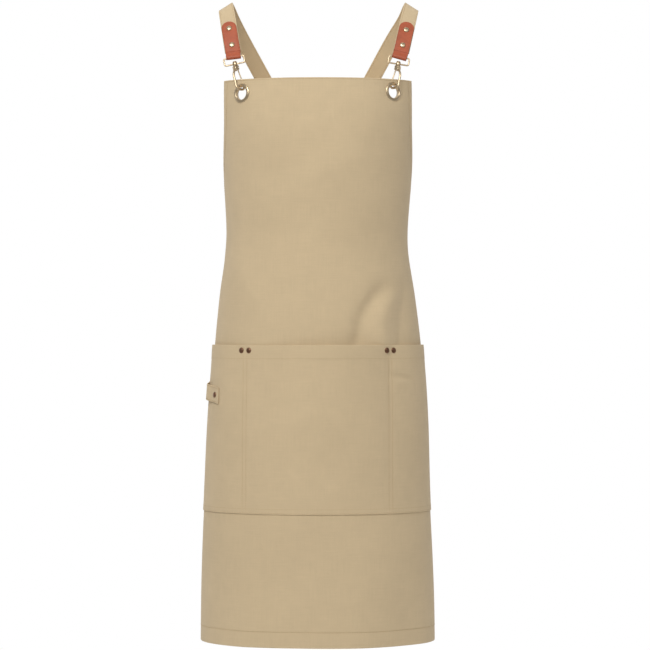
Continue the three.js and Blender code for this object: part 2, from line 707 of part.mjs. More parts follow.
// The hardware at one corner of the waist, drawn at the wearer's left (+X).
function waistSide(name, mirror) {
  const { bar, up, across } = waistRing;
  const ring = wireFrame(RING.wide, RING.high, RING.wire);
  const group = new THREE.Group();
  group.scale.x = mirror;
  group.add(
    piece(`waist_tab_${name}`, waistTab(), CANVAS_FINISH),
    piece(`waist_ring_${name}`, ring, BRASS_FINISH, placed(bar, up, across)),
    piece(`slider_${name}`, slider(), BRASS_FINISH, placed(onStrap(SLIDER.fromRing, 0), up, across)),
  );
  return group;
}

function pocketRivets() {
  const deep = POCKET_OFF + 2 * CANVAS + 2 * GAP;
  const group = new THREE.Group();
  rivetPlaces.forEach(({ along, z }, k) => {
    const label = ['right_outer', 'right_inner', 'left_inner', 'left_outer'][k];
    const frame = clothFrame(along, z, deep - GAP);
    group.add(
      piece(`pocket_rivet_${label}`, rivetCap(deep + FACET), DARK_BRASS_FINISH, frame),
      piece(`pocket_burr_${label}`, rivetBurr(deep + FACET), DARK_BRASS_FINISH, frame),
    );
  });
  return group;
}

function loopRivetPair() {
  const stack = 2 * CANVAS + 4 * GAP;
  const { along, z } = loopRivet;
  const frame = clothFrame(along, z, pocketStand(along, z) + stack - GAP);
  const group = new THREE.Group();
  group.add(
    piece('loop_rivet', rivetCap(stack + 2 * FACET), DARK_BRASS_FINISH, frame),
    piece('loop_burr', rivetBurr(stack + 2 * FACET), DARK_BRASS_FINISH, frame),
  );
  return group;
}

const apron = new THREE.Group();
apron.add(
  piece('apron_panel', apronPanel(), CANVAS_FINISH),
  piece('bib_facing', bibFacing(), CANVAS_FINISH),
  piece('pocket_panel', pocketPanel(), CANVAS_FINISH),
  piece('towel_loop', towelLoop(), CANVAS_FINISH),
  pocketRivets(),
  loopRivetPair(),
  ...Object.entries(SIDES).map(([name, side]) => frontSide(name, side)),
  waistSide('left', 1),
  waistSide('right', -1),
);

export default apron;
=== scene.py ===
"""A cross-back bib apron of heavy canvas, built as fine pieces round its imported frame."""

import json
import math

import bmesh
import bpy
import numpy as np
from bpy.props import FloatProperty, FloatVectorProperty, PointerProperty
from bpy.types import Operator, Panel, PropertyGroup
from mathutils import Matrix, Vector


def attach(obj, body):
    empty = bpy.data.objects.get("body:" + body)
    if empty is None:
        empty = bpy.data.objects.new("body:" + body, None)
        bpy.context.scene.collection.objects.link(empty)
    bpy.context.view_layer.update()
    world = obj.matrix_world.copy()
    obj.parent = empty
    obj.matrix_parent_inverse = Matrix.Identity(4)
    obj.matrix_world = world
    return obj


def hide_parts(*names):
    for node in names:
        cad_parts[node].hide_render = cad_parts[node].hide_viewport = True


bl_info = {
    "name": "Cross-back bib apron",
    "version": (1, 0, 0),
    "blender": (4, 5, 0),
    "location": "View3D > Sidebar > Apron",
    "description": "Makes a worn canvas bib apron with leather tabs and brass snap hooks",
    "category": "Add Mesh",
}

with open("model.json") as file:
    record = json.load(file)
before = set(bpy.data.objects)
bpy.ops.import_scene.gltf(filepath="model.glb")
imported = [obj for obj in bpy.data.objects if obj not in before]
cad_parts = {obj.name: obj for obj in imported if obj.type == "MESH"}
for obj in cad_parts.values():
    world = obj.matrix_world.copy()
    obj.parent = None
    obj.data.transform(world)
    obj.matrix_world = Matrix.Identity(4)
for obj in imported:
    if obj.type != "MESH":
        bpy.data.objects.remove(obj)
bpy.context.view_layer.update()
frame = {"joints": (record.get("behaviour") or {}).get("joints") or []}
JOINTS = {joint["name"]: joint for joint in frame["joints"]}
MM = 0.001

# ---- the wearer's form under the cloth, the same stations as the frame's ----

FORM = np.array([
    # height, half width, half depth, centre
    (-40, 156, 92, 14),
    (-120, 156.2, 105, 10),
    (-200, 150.5, 116, 8),
    (-290, 143.5, 112, 7),
    (-373, 140, 106, 5),
    (-450, 150.5, 111, 4),
    (-530, 159.5, 117, 3),
    (-650, 170, 121, 1),
    (-787, 175.7, 124, 0),
    (-900, 179.5, 127, 0),
    (-988, 181, 128, 0),
    (-1060, 182, 129, 0),
]) * MM

BIB_TOP = -0.120
WAIST = -0.375
HEM = -0.988
WAIST_HALF = 0.330
BIB_EDGE = np.array([
    (-120, 165), (-163, 171), (-200, 178), (-237, 189), (-275, 206),
    (-312, 229), (-345, 262), (-365, 297), (-375, 330),
]) * MM
FACING_DEEP = 0.060
POCKET_TOP = -0.529
POCKET_BOTTOM = -0.786
POCKET_HALF = 0.262
POCKET_SEAM = 0.1155
CANVAS_ROOM = 0.0012
EYELET_ALONG = 0.124
SIDES = {
    "right": {"way": 1, "swivel": -0.1271, "crest": -0.1437, "eyelet": -0.142,
              "rivets": (-0.0395, -0.0663), "lift": 0.0},
    "left": {"way": -1, "swivel": -0.1244, "crest": -0.147, "eyelet": -0.1395,
             "rivets": (-0.042, -0.0667), "lift": 0.005},
}


# ---- settings ----

class ApronSizes(PropertyGroup):
    cloth: FloatProperty(
        name="Canvas thickness", description="One layer of canvas", default=0.9 * MM,
        unit="LENGTH", precision=4)
    hem: FloatProperty(
        name="Side hem", description="Width of the turned hem at the sides", default=12 * MM, unit="LENGTH")
    bottom_hem: FloatProperty(
        name="Bottom hem", description="Width of the turned hem at the bottom", default=26 * MM,
        unit="LENGTH")
    stitch: FloatProperty(
        name="Stitch pitch", description="From one stitch to the next", default=3.2 * MM, unit="LENGTH")
    weave: FloatProperty(
        name="Weave pitch", description="From one thread of the canvas to the next", default=0.75 * MM,
        unit="LENGTH", precision=5)


def colour(name, description, value):
    return FloatVectorProperty(
        name=name, description=description, default=value, size=3, min=0, max=1, subtype="COLOR")


class ApronColours(PropertyGroup):
    canvas: colour("Canvas", "Main colour of the canvas", (0.650, 0.505, 0.312))
    thread: colour("Thread", "Sewing thread", (0.52, 0.375, 0.205))
    leather: colour("Leather", "Tan leather of the tabs", (0.46, 0.105, 0.044))
    leather_edge: colour("Leather edge", "Burnished edge of the leather", (0.20, 0.06, 0.03))
    brass: colour("Brass", "Pale polished brass", (0.66, 0.52, 0.34))
    dark_brass: colour("Dark brass", "Antiqued brass of the pocket rivets", (0.30, 0.16, 0.10))
    steel: colour("Steel", "Pins and springs", (0.62, 0.61, 0.59))
    floor: colour("Floor", "Floor and backdrop", (0.93, 0.93, 0.93))


def sizes():
    return bpy.context.scene.apron_sizes


def colours():
    return bpy.context.scene.apron_colours


# ---- curves and surfaces ----

def smoothstep(low, high, value):
    t = np.clip((value - low) / (high - low), 0, 1)
    return t * t * (3 - 2 * t)


def smooth_through(table, column, at):
    """A smooth value at heights `at` through a table whose first column runs downwards."""
    x, y = table[:, 0], table[:, column]
    slopes = np.empty(len(x))
    slopes[1:-1] = (y[2:] - y[:-2]) / (x[2:] - x[:-2])
    slopes[0] = (y[1] - y[0]) / (x[1] - x[0])
    slopes[-1] = (y[-1] - y[-2]) / (x[-1] - x[-2])
    i = np.clip(np.searchsorted(-x, -np.asarray(at), side="right") - 1, 0, len(x) - 2)
    span = x[i + 1] - x[i]
    t = (at - x[i]) / span
    return ((2 * t**3 - 3 * t**2 + 1) * y[i] + (t**3 - 2 * t**2 + t) * slopes[i] * span
            + (3 * t**2 - 2 * t**3) * y[i + 1] + (t**3 - t**2) * slopes[i + 1] * span)


ARC_STEPS = 90


def form_points(along, z):
    """Points on the wearer's form at a distance `along` the cloth from the front's middle."""
    along, z = np.broadcast_arrays(np.asarray(along, float), np.asarray(z, float))
    shape = along.shape
    u, h = along.ravel(), z.ravel()
    wide = smooth_through(FORM, 1, h)
    deep = smooth_through(FORM, 2, h)
    back = smooth_through(FORM, 3, h)
    step = math.pi / ARC_STEPS
    middles = (np.arange(ARC_STEPS) + 0.5) * step
    speed = np.hypot(wide[:, None] * np.cos(middles), deep[:, None] * np.sin(middles))
    reached = np.concatenate([np.zeros((len(u), 1)), np.cumsum(speed * step, axis=1)], axis=1)
    target = np.abs(u)
    i = np.clip((reached < target[:, None]).sum(axis=1) - 1, 0, ARC_STEPS - 1)
    rows = np.arange(len(u))
    angle = (i + (target - reached[rows, i]) / (speed[rows, i] * step)) * step * np.sign(u)
    points = np.stack([wide * np.sin(angle), back - deep * np.cos(angle), h], axis=1)
    return points.reshape(*shape, 3)


def unit(v):
    return v / np.linalg.norm(v, axis=-1, keepdims=True)


def form_normals(along, z):
    sideways = form_points(along + 2 * MM, z) - form_points(along - 2 * MM, z)
    down = form_points(along, z - 4 * MM) - form_points(along, z + 4 * MM)
    return unit(np.cross(down, sideways))


def on_form(along, z, off):
    off = np.asarray(off, float)[..., None]
    return form_points(along, z) + form_normals(along, z) * off


def half_width(z):
    return np.where(z < WAIST, WAIST_HALF, smooth_through(BIB_EDGE, 1, np.maximum(z, WAIST)))


def catmull(points, count):
    """Points at even parameter steps on a centripetal curve through `points`."""
    p = np.asarray(points, float)
    p = np.vstack([2 * p[0] - p[1], p, 2 * p[-1] - p[-2]])
    t = np.linspace(0, len(points) - 1, count)
    i = np.minimum(t.astype(int), len(points) - 2)
    f = (t - i)[:, None]
    a, b, c, d = p[i], p[i + 1], p[i + 2], p[i + 3]
    ab, bc, cd = (np.maximum(np.linalg.norm(y - x, axis=1, keepdims=True)**0.5, 1e-6)
                  for x, y in ((a, b), (b, c), (c, d)))
    start = ((b - a) / ab - (c - a) / (ab + bc) + (c - b) / bc) * bc
    end = ((c - b) / bc - (d - b) / (bc + cd) + (d - c) / cd) * bc
    return ((2 * f**3 - 3 * f**2 + 1) * b + (f**3 - 2 * f**2 + f) * start
            + (3 * f**2 - 2 * f**3) * c + (f**3 - f**2) * end)


def lengths(points):
    return np.concatenate([[0], np.cumsum(np.linalg.norm(np.diff(points, axis=0), axis=1))])


def at_lengths(values, travelled, where):
    return np.stack([np.interp(where, travelled, column) for column in values.T], axis=1)


# ---- meshes ----

def mesh_object(name, points, faces, uv=None):
    mesh = bpy.data.meshes.new(name)
    mesh.from_pydata(np.asarray(points).tolist(), [], [list(map(int, face)) for face in faces])
    mesh.validate()
    mesh.shade_smooth()
    if uv is not None:
        layer = mesh.uv_layers.new(name="UVMap")
        corners = np.empty(len(mesh.loops), dtype=np.int32)
        mesh.loops.foreach_get("vertex_index", corners)
        layer.data.foreach_set("uv", np.asarray(uv, np.float32)[corners].ravel())
    piece = bpy.data.objects.new(name, mesh)
    bpy.context.scene.collection.objects.link(piece)
    return piece


def slab(name, low, high, uv, way=1):
    """A closed sheet between two grids of points; the high side faces out."""
    rows, columns = low.shape[:2]
    number = np.arange(rows * columns).reshape(rows, columns)
    a, b, c, d = number[:-1, :-1], number[1:, :-1], number[1:, 1:], number[:-1, 1:]
    inner = np.stack([a, d, c, b], axis=-1).reshape(-1, 4)
    outer = np.stack([a, b, c, d], axis=-1).reshape(-1, 4) + rows * columns
    rim = np.concatenate([number[0, :], number[1:, -1], number[-1, -2::-1], number[-2:0:-1, 0]])
    after = np.roll(rim, -1)
    wall = np.stack([rim, rim + rows * columns, after + rows * columns, after], axis=1)
    faces = np.concatenate([inner, outer, wall])
    if way < 0:
        faces = faces[:, ::-1]
    points = np.concatenate([low.reshape(-1, 3), high.reshape(-1, 3)])
    flat = uv.reshape(-1, 2)
    return mesh_object(name, points, faces, np.concatenate([flat, flat]))


def finish_piece(piece, body, slot, material, *nodes):
    piece.data.materials.clear()
    piece.data.materials.append(material)
    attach(piece, body)
    if nodes:
        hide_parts(*nodes)
    return piece


def edge_fall(distance, radius):
    """The share of a sheet's thickness left at a distance from its rounded edge."""
    t = np.clip(1 - distance / radius, 0, 1)
    return np.sqrt(np.maximum(1 - t * t, 0.03))


STITCH_RINGS = ((-1.0, 0.35, -0.8), (-0.7, 0.85, 0.35), (0.0, 1.0, 0.7), (0.7, 0.85, 0.35), (1.0, 0.35, -0.8))
STITCH_SIDES = 6


def stitch_piece(name, lines, material, body="apron", slot="canvas", radius=0.21 * MM, pitch=None):
    """Rows of sewn stitches as one mesh; each line is a run of points and the normals there."""
    pitch = pitch or sizes().stitch
    half = pitch * 0.40
    centres, tangents, normals = [], [], []
    for points, out in lines:
        travelled = lengths(points)
        where = np.arange(pitch / 2, travelled[-1] - pitch / 3, pitch)
        if len(where) == 0:
            continue
        here = at_lengths(points, travelled, where)
        ahead = at_lengths(points, travelled, where + half)
        behind = at_lengths(points, travelled, where - half)
        centres.append(here)
        tangents.append(unit(ahead - behind))
        normals.append(unit(at_lengths(out, travelled, where)))
    centre, tangent, normal = (np.concatenate(x) for x in (centres, tangents, normals))
    side = unit(np.cross(tangent, normal))
    turn = np.arange(STITCH_SIDES) / STITCH_SIDES * 2 * math.pi
    verts = []
    for along, wide, high in STITCH_RINGS:
        ring = centre + tangent * along * half + normal * high * radius
        for angle in turn:
            verts.append(ring + (side * math.cos(angle) + normal * math.sin(angle)) * wide * radius)
    verts = np.stack(verts, axis=1)
    count, each = verts.shape[:2]
    faces = []
    for k in range(len(STITCH_RINGS) - 1):
        for s in range(STITCH_SIDES):
            t = (s + 1) % STITCH_SIDES
            faces.append([k * STITCH_SIDES + s, k * STITCH_SIDES + t,
                          (k + 1) * STITCH_SIDES + t, (k + 1) * STITCH_SIDES + s])
    caps = [list(range(STITCH_SIDES))[::-1], list(range(each - STITCH_SIDES, each))]
    every = [[index + n * each for index in face] for n in range(count) for face in faces + caps]
    piece = mesh_object(name, verts.reshape(-1, 3), [face[::-1] for face in every])
    return finish_piece(piece, body, slot, material)


def tube_grid(path, radius, sides=16, up=None, closed=False):
    """Rings of points round a path, without a twist along it."""
    path = np.asarray(path, float)
    tangent = np.roll(path, -1, 0) - np.roll(path, 1, 0) if closed else np.gradient(path, axis=0)
    tangent = unit(tangent)
    normal = np.array(up if up is not None else (0, 1, 0), float)
    radius = np.broadcast_to(radius, len(path))
    rings = []
    for point, along, r in zip(path, tangent, radius):
        normal = unit(normal - along * normal.dot(along))
        side = np.cross(along, normal)
        turn = np.arange(sides) / sides * 2 * math.pi
        rings.append(point + r * (np.cos(turn)[:, None] * side + np.sin(turn)[:, None] * normal))
    return np.array(rings)


def ring_faces(rings, sides, closed):
    faces = []
    for k in range(rings if closed else rings - 1):
        n = (k + 1) % rings
        for s in range(sides):
            t = (s + 1) % sides
            faces.append([k * sides + s, k * sides + t, n * sides + t, n * sides + s])
    if not closed:
        faces.append(list(range(sides))[::-1])
        faces.append(list(range((rings - 1) * sides, rings * sides)))
    return faces


def tube(path, radius, sides=16, closed=False, up=None):
    grid = tube_grid(path, radius, sides, up, closed)
    return grid.reshape(-1, 3), [face[::-1] for face in ring_faces(len(grid), sides, closed)]


def round_ended(path, radius, sides=16, up=None):
    """A tube whose two ends are rounded off."""
    path = np.asarray(path, float)
    first, last = unit(path[0] - path[1]), unit(path[-1] - path[-2])
    steps = np.array([1.0, 0.92, 0.7, 0.38])
    lead = [path[0] + first * radius * s for s in steps]
    tail = [path[-1] + last * radius * s for s in steps[::-1]]
    width = np.sqrt(np.maximum(1 - steps**2, 0.01)) * radius
    whole = np.vstack([lead, path, tail])
    radii = np.concatenate([width, np.full(len(path), radius), width[::-1]])
    return tube(whole, radii, sides, up=up)


def lathe(profile, segments=48):
    """A turned body from (radius, height) pairs running up its outside; ends on the axis or closed."""
    profile = np.asarray(profile, float)
    closed = bool(np.allclose(profile[0], profile[-1]))
    if closed:
        profile = profile[:-1]
    turn = np.arange(segments) / segments * 2 * math.pi
    points = np.stack([
        np.outer(profile[:, 0], np.cos(turn)),
        np.outer(profile[:, 0], np.sin(turn)),
        np.repeat(profile[:, 1:2], segments, axis=1),
    ], axis=-1)
    faces = ring_faces(len(profile), segments, closed)
    return points.reshape(-1, 3), faces


def rounded_block(size, centre, bevel):
    """A box with rounded edges."""
    solid = bmesh.new()
    bmesh.ops.create_cube(solid, size=1.0, matrix=Matrix.Diagonal((*size, 1.0)))
    bmesh.ops.bevel(solid, geom=solid.edges[:], offset=bevel, segments=3, profile=0.5, affect="EDGES")
    points = np.array([vertex.co[:] for vertex in solid.verts]) + centre
    faces = [[vertex.index for vertex in face.verts] for face in solid.faces]
    solid.free()
    return points, faces


def together(parts):
    points, faces, base = [], [], 0
    for some, these in parts:
        points.append(np.asarray(some))
        faces.extend([[index + base for index in face] for face in these])
        base += len(some)
    return np.concatenate(points), faces


def moved(part, matrix):
    """A part carried by a 4 x 4 matrix, its faces turned if the matrix mirrors."""
    points, faces = part
    points = np.asarray(points) @ matrix[:3, :3].T + matrix[:3, 3]
    if np.linalg.det(matrix[:3, :3]) < 0:
        faces = [face[::-1] for face in faces]
    return points, faces


def frame_of(origin, x, y, z):
    matrix = np.eye(4)
    matrix[:3, 0], matrix[:3, 1], matrix[:3, 2], matrix[:3, 3] = x, y, z, origin
    return matrix


# ---- materials ----

FINISH = "fine_"


class Nodes:
    """A small hand for wiring a material's nodes."""

    def __init__(self, name):
        self.material = bpy.data.materials.new(FINISH + name)
        self.material.use_nodes = True
        self.tree = self.material.node_tree
        self.tree.nodes.clear()
        self.output = self.tree.nodes.new("ShaderNodeOutputMaterial")
        self.shader = self.tree.nodes.new("ShaderNodeBsdfPrincipled")
        self.link(self.shader.outputs["BSDF"], self.output.inputs["Surface"])

    def link(self, source, target):
        self.tree.links.new(source, target)

    def new(self, kind, **settings):
        node = self.tree.nodes.new(kind)
        for key, value in settings.items():
            setattr(node, key, value)
        return node

    def feed(self, value, socket):
        if hasattr(value, "is_linked"):
            self.link(value, socket)
        else:
            socket.default_value = value

    def math(self, operation, a, b=0.0, c=0.0):
        node = self.new("ShaderNodeMath", operation=operation)
        for value, socket in zip((a, b, c), node.inputs):
            self.feed(value, socket)
        return node.outputs[0]

    def place(self, output, scale=(1, 1, 1)):
        coords = self.new("ShaderNodeTexCoord")
        mapping = self.new("ShaderNodeMapping")
        mapping.inputs["Scale"].default_value = scale
        self.link(coords.outputs[output], mapping.inputs["Vector"])
        return mapping.outputs["Vector"]

    def noise(self, vector, scale, detail=2.0, roughness=0.5):
        node = self.new("ShaderNodeTexNoise")
        self.link(vector, node.inputs["Vector"])
        node.inputs["Scale"].default_value = scale
        node.inputs["Detail"].default_value = detail
        node.inputs["Roughness"].default_value = roughness
        return node.outputs["Fac"]

    def span(self, value, low, high, from_low=0.3, from_high=0.7):
        node = self.new("ShaderNodeMapRange")
        self.link(value, node.inputs["Value"])
        node.inputs["From Min"].default_value = from_low
        node.inputs["From Max"].default_value = from_high
        node.inputs["To Min"].default_value = low
        node.inputs["To Max"].default_value = high
        return node.outputs["Result"]

    def tinted(self, base, share):
        """The colour times a grey share."""
        scaled = self.new("ShaderNodeVectorMath", operation="SCALE")
        scaled.inputs[0].default_value = base
        self.link(share, scaled.inputs["Scale"])
        return scaled.outputs["Vector"]

    def bump(self, height, distance, strength=1.0, after=None):
        node = self.new("ShaderNodeBump")
        node.inputs["Strength"].default_value = strength
        node.inputs["Distance"].default_value = distance
        self.link(height, node.inputs["Height"])
        if after is not None:
            self.link(after, node.inputs["Normal"])
        return node.outputs["Normal"]

    def set(self, **values):
        for key, value in values.items():
            self.feed(value, self.shader.inputs[key.replace("_", " ")])
        return self.material


def canvas_material():
    """Plain-woven canvas: threads over and under, thick and thin yarns, a slightly uneven dye."""
    n = Nodes("canvas")
    pitch = sizes().weave
    uv = n.place("UV")
    split = n.new("ShaderNodeSeparateXYZ")
    n.link(uv, split.inputs[0])
    around = 2 * math.pi / (2 * pitch)
    warp = n.math("SINE", n.math("MULTIPLY", split.outputs["X"], around))
    weft = n.math("SINE", n.math("MULTIPLY", split.outputs["Y"], around))
    weave = n.math("MULTIPLY", warp, weft)
    up_yarns = n.noise(n.place("UV", (900, 26, 1)), 1.0, 2.0)
    cross_yarns = n.noise(n.place("UV", (26, 900, 1)), 1.0, 2.0)
    yarns = n.math("ADD", up_yarns, cross_yarns)
    flecks = n.noise(n.place("UV"), 1500.0, 1.0)
    dye = n.noise(n.place("UV"), 9.0, 3.0)
    worn = n.noise(n.place("UV"), 45.0, 4.0, 0.6)
    share = n.math("ADD", n.span(yarns, -0.028, 0.028, 0.7, 1.3), n.span(flecks, -0.02, 0.02))
    share = n.math("ADD", share, n.span(dye, -0.022, 0.022))
    share = n.math("ADD", share, n.span(worn, -0.02, 0.02))
    share = n.math("ADD", share, n.math("MULTIPLY", weave, 0.025))
    share = n.math("ADD", share, 1.0)
    soft = n.bump(worn, 0.6 * MM, 0.5)
    yarn_bump = n.bump(yarns, 0.12 * MM, 0.6, soft)
    fine = n.bump(weave, 0.10 * MM, 0.7, yarn_bump)
    return n.set(Base_Color=n.tinted(colours().canvas, share), Roughness=0.9, Normal=fine,
                 Specular_IOR_Level=0.2, Sheen_Weight=0.12, Sheen_Roughness=0.6)


def thread_material():
    n = Nodes("thread")
    share = n.span(n.noise(n.place("Object"), 900.0, 1.0), 0.9, 1.1)
    return n.set(Base_Color=n.tinted(colours().thread, share), Roughness=0.75, Specular_IOR_Level=0.25)


def leather_material(name, base, rough):
    """Vegetable-tanned leather: a fine pebbled grain, pores and uneven colour."""
    n = Nodes(name)
    spot = n.place("Object")
    mottled = n.noise(spot, 120.0, 4.0, 0.6)
    broad = n.noise(spot, 30.0, 2.0)
    grain = n.new("ShaderNodeTexVoronoi")
    grain.inputs["Scale"].default_value = 1500.0
    n.link(spot, grain.inputs["Vector"])
    share = n.math("ADD", n.span(mottled, 0.86, 1.06), n.span(broad, -0.06, 0.06))
    normal = n.bump(grain.outputs["Distance"], 0.06 * MM, 0.55)
    normal = n.bump(mottled, 0.25 * MM, 0.5, normal)
    return n.set(Base_Color=n.tinted(base, share), Roughness=n.span(mottled, rough - 0.06, rough + 0.08),
                 Normal=normal, Specular_IOR_Level=0.4)


def metal_material(name, base, rough, tarnish):
    """Cast or drawn metal with a fine uneven polish; tarnish darkens it in patches."""
    n = Nodes(name)
    spot = n.place("Object")
    patches = n.noise(spot, 160.0, 4.0, 0.6)
    fine = n.noise(spot, 2600.0, 1.0)
    share = n.span(patches, 1.0 - tarnish, 1.0)
    normal = n.bump(patches, 0.02 * MM, 0.3, n.bump(fine, 0.006 * MM, 0.3))
    return n.set(Base_Color=n.tinted(base, share), Metallic=1.0,
                 Roughness=n.span(patches, rough + 0.07, rough - 0.03), Normal=normal)


def plain_material(name, base, rough):
    n = Nodes(name)
    share = n.span(n.noise(n.place("Object"), 1.5, 2.0), 0.985, 1.0)
    return n.set(Base_Color=n.tinted(base, share), Roughness=rough, Specular_IOR_Level=0.1)


def material(name):
    """A named material, made when a piece first asks for it."""
    if FINISH + name in bpy.data.materials:
        return bpy.data.materials[FINISH + name]
    c = colours()
    makers = {
        "canvas": canvas_material,
        "thread": thread_material,
        "leather": lambda: leather_material("leather", c.leather, 0.5),
        "leather_edge": lambda: leather_material("leather_edge", c.leather_edge, 0.38),
        "brass": lambda: metal_material("brass", c.brass, 0.32, 0.12),
        "dark_brass": lambda: metal_material("dark_brass", c.dark_brass, 0.36, 0.45),
        "steel": lambda: metal_material("steel", c.steel, 0.3, 0.12),
        "floor": lambda: plain_material("floor", c.floor, 0.9),
    }
    return makers[name]()


# ---- the canvas panel ----

def ridge(x, z, path, width, height):
    """A soft ridge or valley along a path of (x, z, strength) seen from the front."""
    best = np.full(np.shape(x), 1e9)
    strength = np.zeros(np.shape(x))
    for (ax, az, aw), (bx, bz, bw) in zip(path[:-1], path[1:]):
        dx, dz = bx - ax, bz - az
        t = np.clip(((x - ax) * dx + (z - az) * dz) / (dx * dx + dz * dz), 0, 1)
        away = np.hypot(x - ax - t * dx, z - az - t * dz)
        closer = away < best
        best = np.where(closer, away, best)
        strength = np.where(closer, aw + (bw - aw) * t, strength)
    return height * strength * np.exp(-(best / width) ** 2)


# Folds of the panel: a path of (x, z, strength), the width and the height out of the cloth.
PANEL_FOLDS = (
    (((0.116, -0.434, 0), (0.100, -0.445, 0.7), (0.087, -0.457, 1), (0.076, -0.474, 1), (0.068, -0.492, 1),
      (0.062, -0.520, 1), (0.058, -0.545, 0.5), (0.056, -0.57, 0)), 0.0125, -0.0052),
    (((0.121, -0.445, 0), (0.106, -0.466, 0.8), (0.098, -0.490, 1), (0.099, -0.522, 0.9), (0.1, -0.545, 0.2)),
     0.0125, 0.0046),
    (((0.134, -0.415, 0), (0.133, -0.448, 0.8), (0.129, -0.488, 1), (0.127, -0.525, 0.9), (0.127, -0.55, 0)),
     0.0095, -0.0030),
    (((-0.103, -0.338, 0), (-0.03, -0.292, 0.8), (0.03, -0.256, 0.9), (0.095, -0.222, 0)), 0.024, 0.0020),
    (((-0.115, -0.300, 0), (-0.05, -0.258, 0.7), (0.02, -0.215, 0.6), (0.07, -0.187, 0)), 0.026, -0.0018),
    (((-0.075, -0.40, 0), (0.0, -0.365, 0.8), (0.07, -0.325, 0)), 0.030, 0.0016),
    (((0.012, -0.162, 0), (0.016, -0.170, 1), (0.024, -0.186, 1), (0.028, -0.194, 0)), 0.0042, -0.0011),
    (((-0.15, -0.36, 0), (-0.12, -0.40, 0.8), (-0.098, -0.46, 0.7), (-0.09, -0.52, 0)), 0.016, 0.0019),
    (((0.12, -0.15, 0), (0.085, -0.18, 0.8), (0.06, -0.22, 0)), 0.018, 0.0013),
    (((-0.12, -0.16, 0), (-0.09, -0.19, 0.8), (-0.07, -0.24, 0)), 0.020, 0.0012),
)

# Folds that show on the pocket, and so on the panel behind it.
POCKET_FOLDS = (
    (((0.105, -0.570, 0), (0.116, -0.577, 1), (0.136, -0.581, 1), (0.146, -0.583, 0)), 0.0042, -0.0016),
    (((0.105, -0.581, 0), (0.122, -0.588, 1), (0.14, -0.592, 0)), 0.006, 0.0013),
    (((-0.11, -0.645, 0), (-0.06, -0.655, 0.8), (0.0, -0.64, 0.9), (0.07, -0.66, 0)), 0.020, 0.0016),
    (((-0.07, -0.70, 0), (0.01, -0.712, 0.8), (0.08, -0.70, 0)), 0.022, -0.0014),
    (((0.127, -0.62, 0), (0.15, -0.66, 0.9), (0.157, -0.72, 0)), 0.014, 0.0014),
    (((-0.12, -0.60, 0), (-0.1, -0.66, 0.8), (-0.105, -0.73, 0)), 0.016, 0.0015),
)

SKIRT_FOLDS = (
    (((-0.10, -0.80, 0), (-0.108, -0.88, 0.8), (-0.112, -0.99, 1)), 0.026, 0.0032),
    (((-0.035, -0.82, 0), (-0.03, -0.90, 0.7), (-0.026, -0.99, 1)), 0.034, -0.0026),
    (((0.055, -0.79, 0), (0.062, -0.88, 0.8), (0.066, -0.99, 1)), 0.028, 0.0028),
    (((0.13, -0.80, 0), (0.134, -0.90, 0.8), (0.138, -0.99, 1)), 0.022, -0.0026),
)


def wander(x, z):
    """Broad slack in the hanging cloth, as a smooth sum of a few waves."""
    return 0.0007 * (np.sin(21 * x + 9 * z + 1.1) + np.sin(-13 * x + 17 * z + 0.4) * 0.8
                     + np.sin(34 * x - 11 * z + 2.2) * 0.5)


def folds(along, z, lists):
    x = form_points(along, z)[..., 0]
    front = smoothstep(0.30, 0.20, np.abs(along))
    total = wander(x, z)
    for path, width, height in (fold for some in lists for fold in some):
        total = total + ridge(x, z, path, width, height) * front
    return total


# Where the cloth is pinned flat by hardware: (along, height, reach).
PINNED = (
    (-EYELET_ALONG, -0.142, 0.022), (EYELET_ALONG, -0.1395, 0.022),
    (-0.316, -0.372, 0.035), (0.316, -0.372, 0.035),
)


def cloth_off(along, z, lists):
    """How far a face of the cloth is lifted by its folds, and by none of them under the hardware."""
    off = folds(along, z, lists)
    for u, v, reach in PINNED:
        off = off * (1 - np.exp(-(((along - u) ** 2 + (z - v) ** 2) / reach**2) ** 2))
    return off


def panel_off(along, z):
    """How far the panel's inner face stands off the wearer's form."""
    return cloth_off(along, z, (PANEL_FOLDS, POCKET_FOLDS, SKIRT_FOLDS))


def outline():
    """The panel's outline as (along, z) points, without its last repeat."""
    z_side = np.concatenate([np.linspace(BIB_TOP, -0.34, 90), np.linspace(-0.341, WAIST, 60)])
    side = np.stack([half_width(z_side + 1e-9), z_side], axis=1)
    down = np.array([[WAIST_HALF, z] for z in np.linspace(WAIST - 0.004, HEM, 60)])
    right = np.concatenate([side, down])
    left = right[::-1] * (-1, 1)
    return np.concatenate([right, left])


def distance_to(points, line, closed=True):
    """The shortest distance from each point to a polyline."""
    ends = np.roll(line, -1, 0) if closed else line[1:]
    starts = line if closed else line[:-1]
    best = np.full(len(points), 1e9)
    for a, b in zip(starts, ends):
        d = b - a
        t = np.clip(((points - a) @ d) / max(d @ d, 1e-12), 0, 1)
        best = np.minimum(best, np.linalg.norm(points - a - t[:, None] * d, axis=1))
    return best


EDGE_STEPS = MM * np.array([
    0, 0.12, 0.35, 0.75, 1.3, 2.2, 3.6, 5.5, 7.8, 9.3, 10.0, 10.6, 11.3, 12.2, 13.2, 15.5])
HEM_STEPS = MM * np.array([
    31, 28, 26.6, 25.8, 25.0, 24.0, 22.5, 18, 12, 7, 3.6, 2.2, 1.3, 0.75, 0.35, 0.12, 0])
TIP_STEPS = MM * np.array([
    0, 0.03, 0.12, 0.3, 0.55, 0.9, 1.3, 1.7, 2.1, 2.5, 3, 3.7, 4.6, 5.8, 7.4, 9.4, 11.7])


def span_between(low, high, step):
    return np.linspace(low, high, max(int(round(abs(high - low) / step)), 1) + 1)


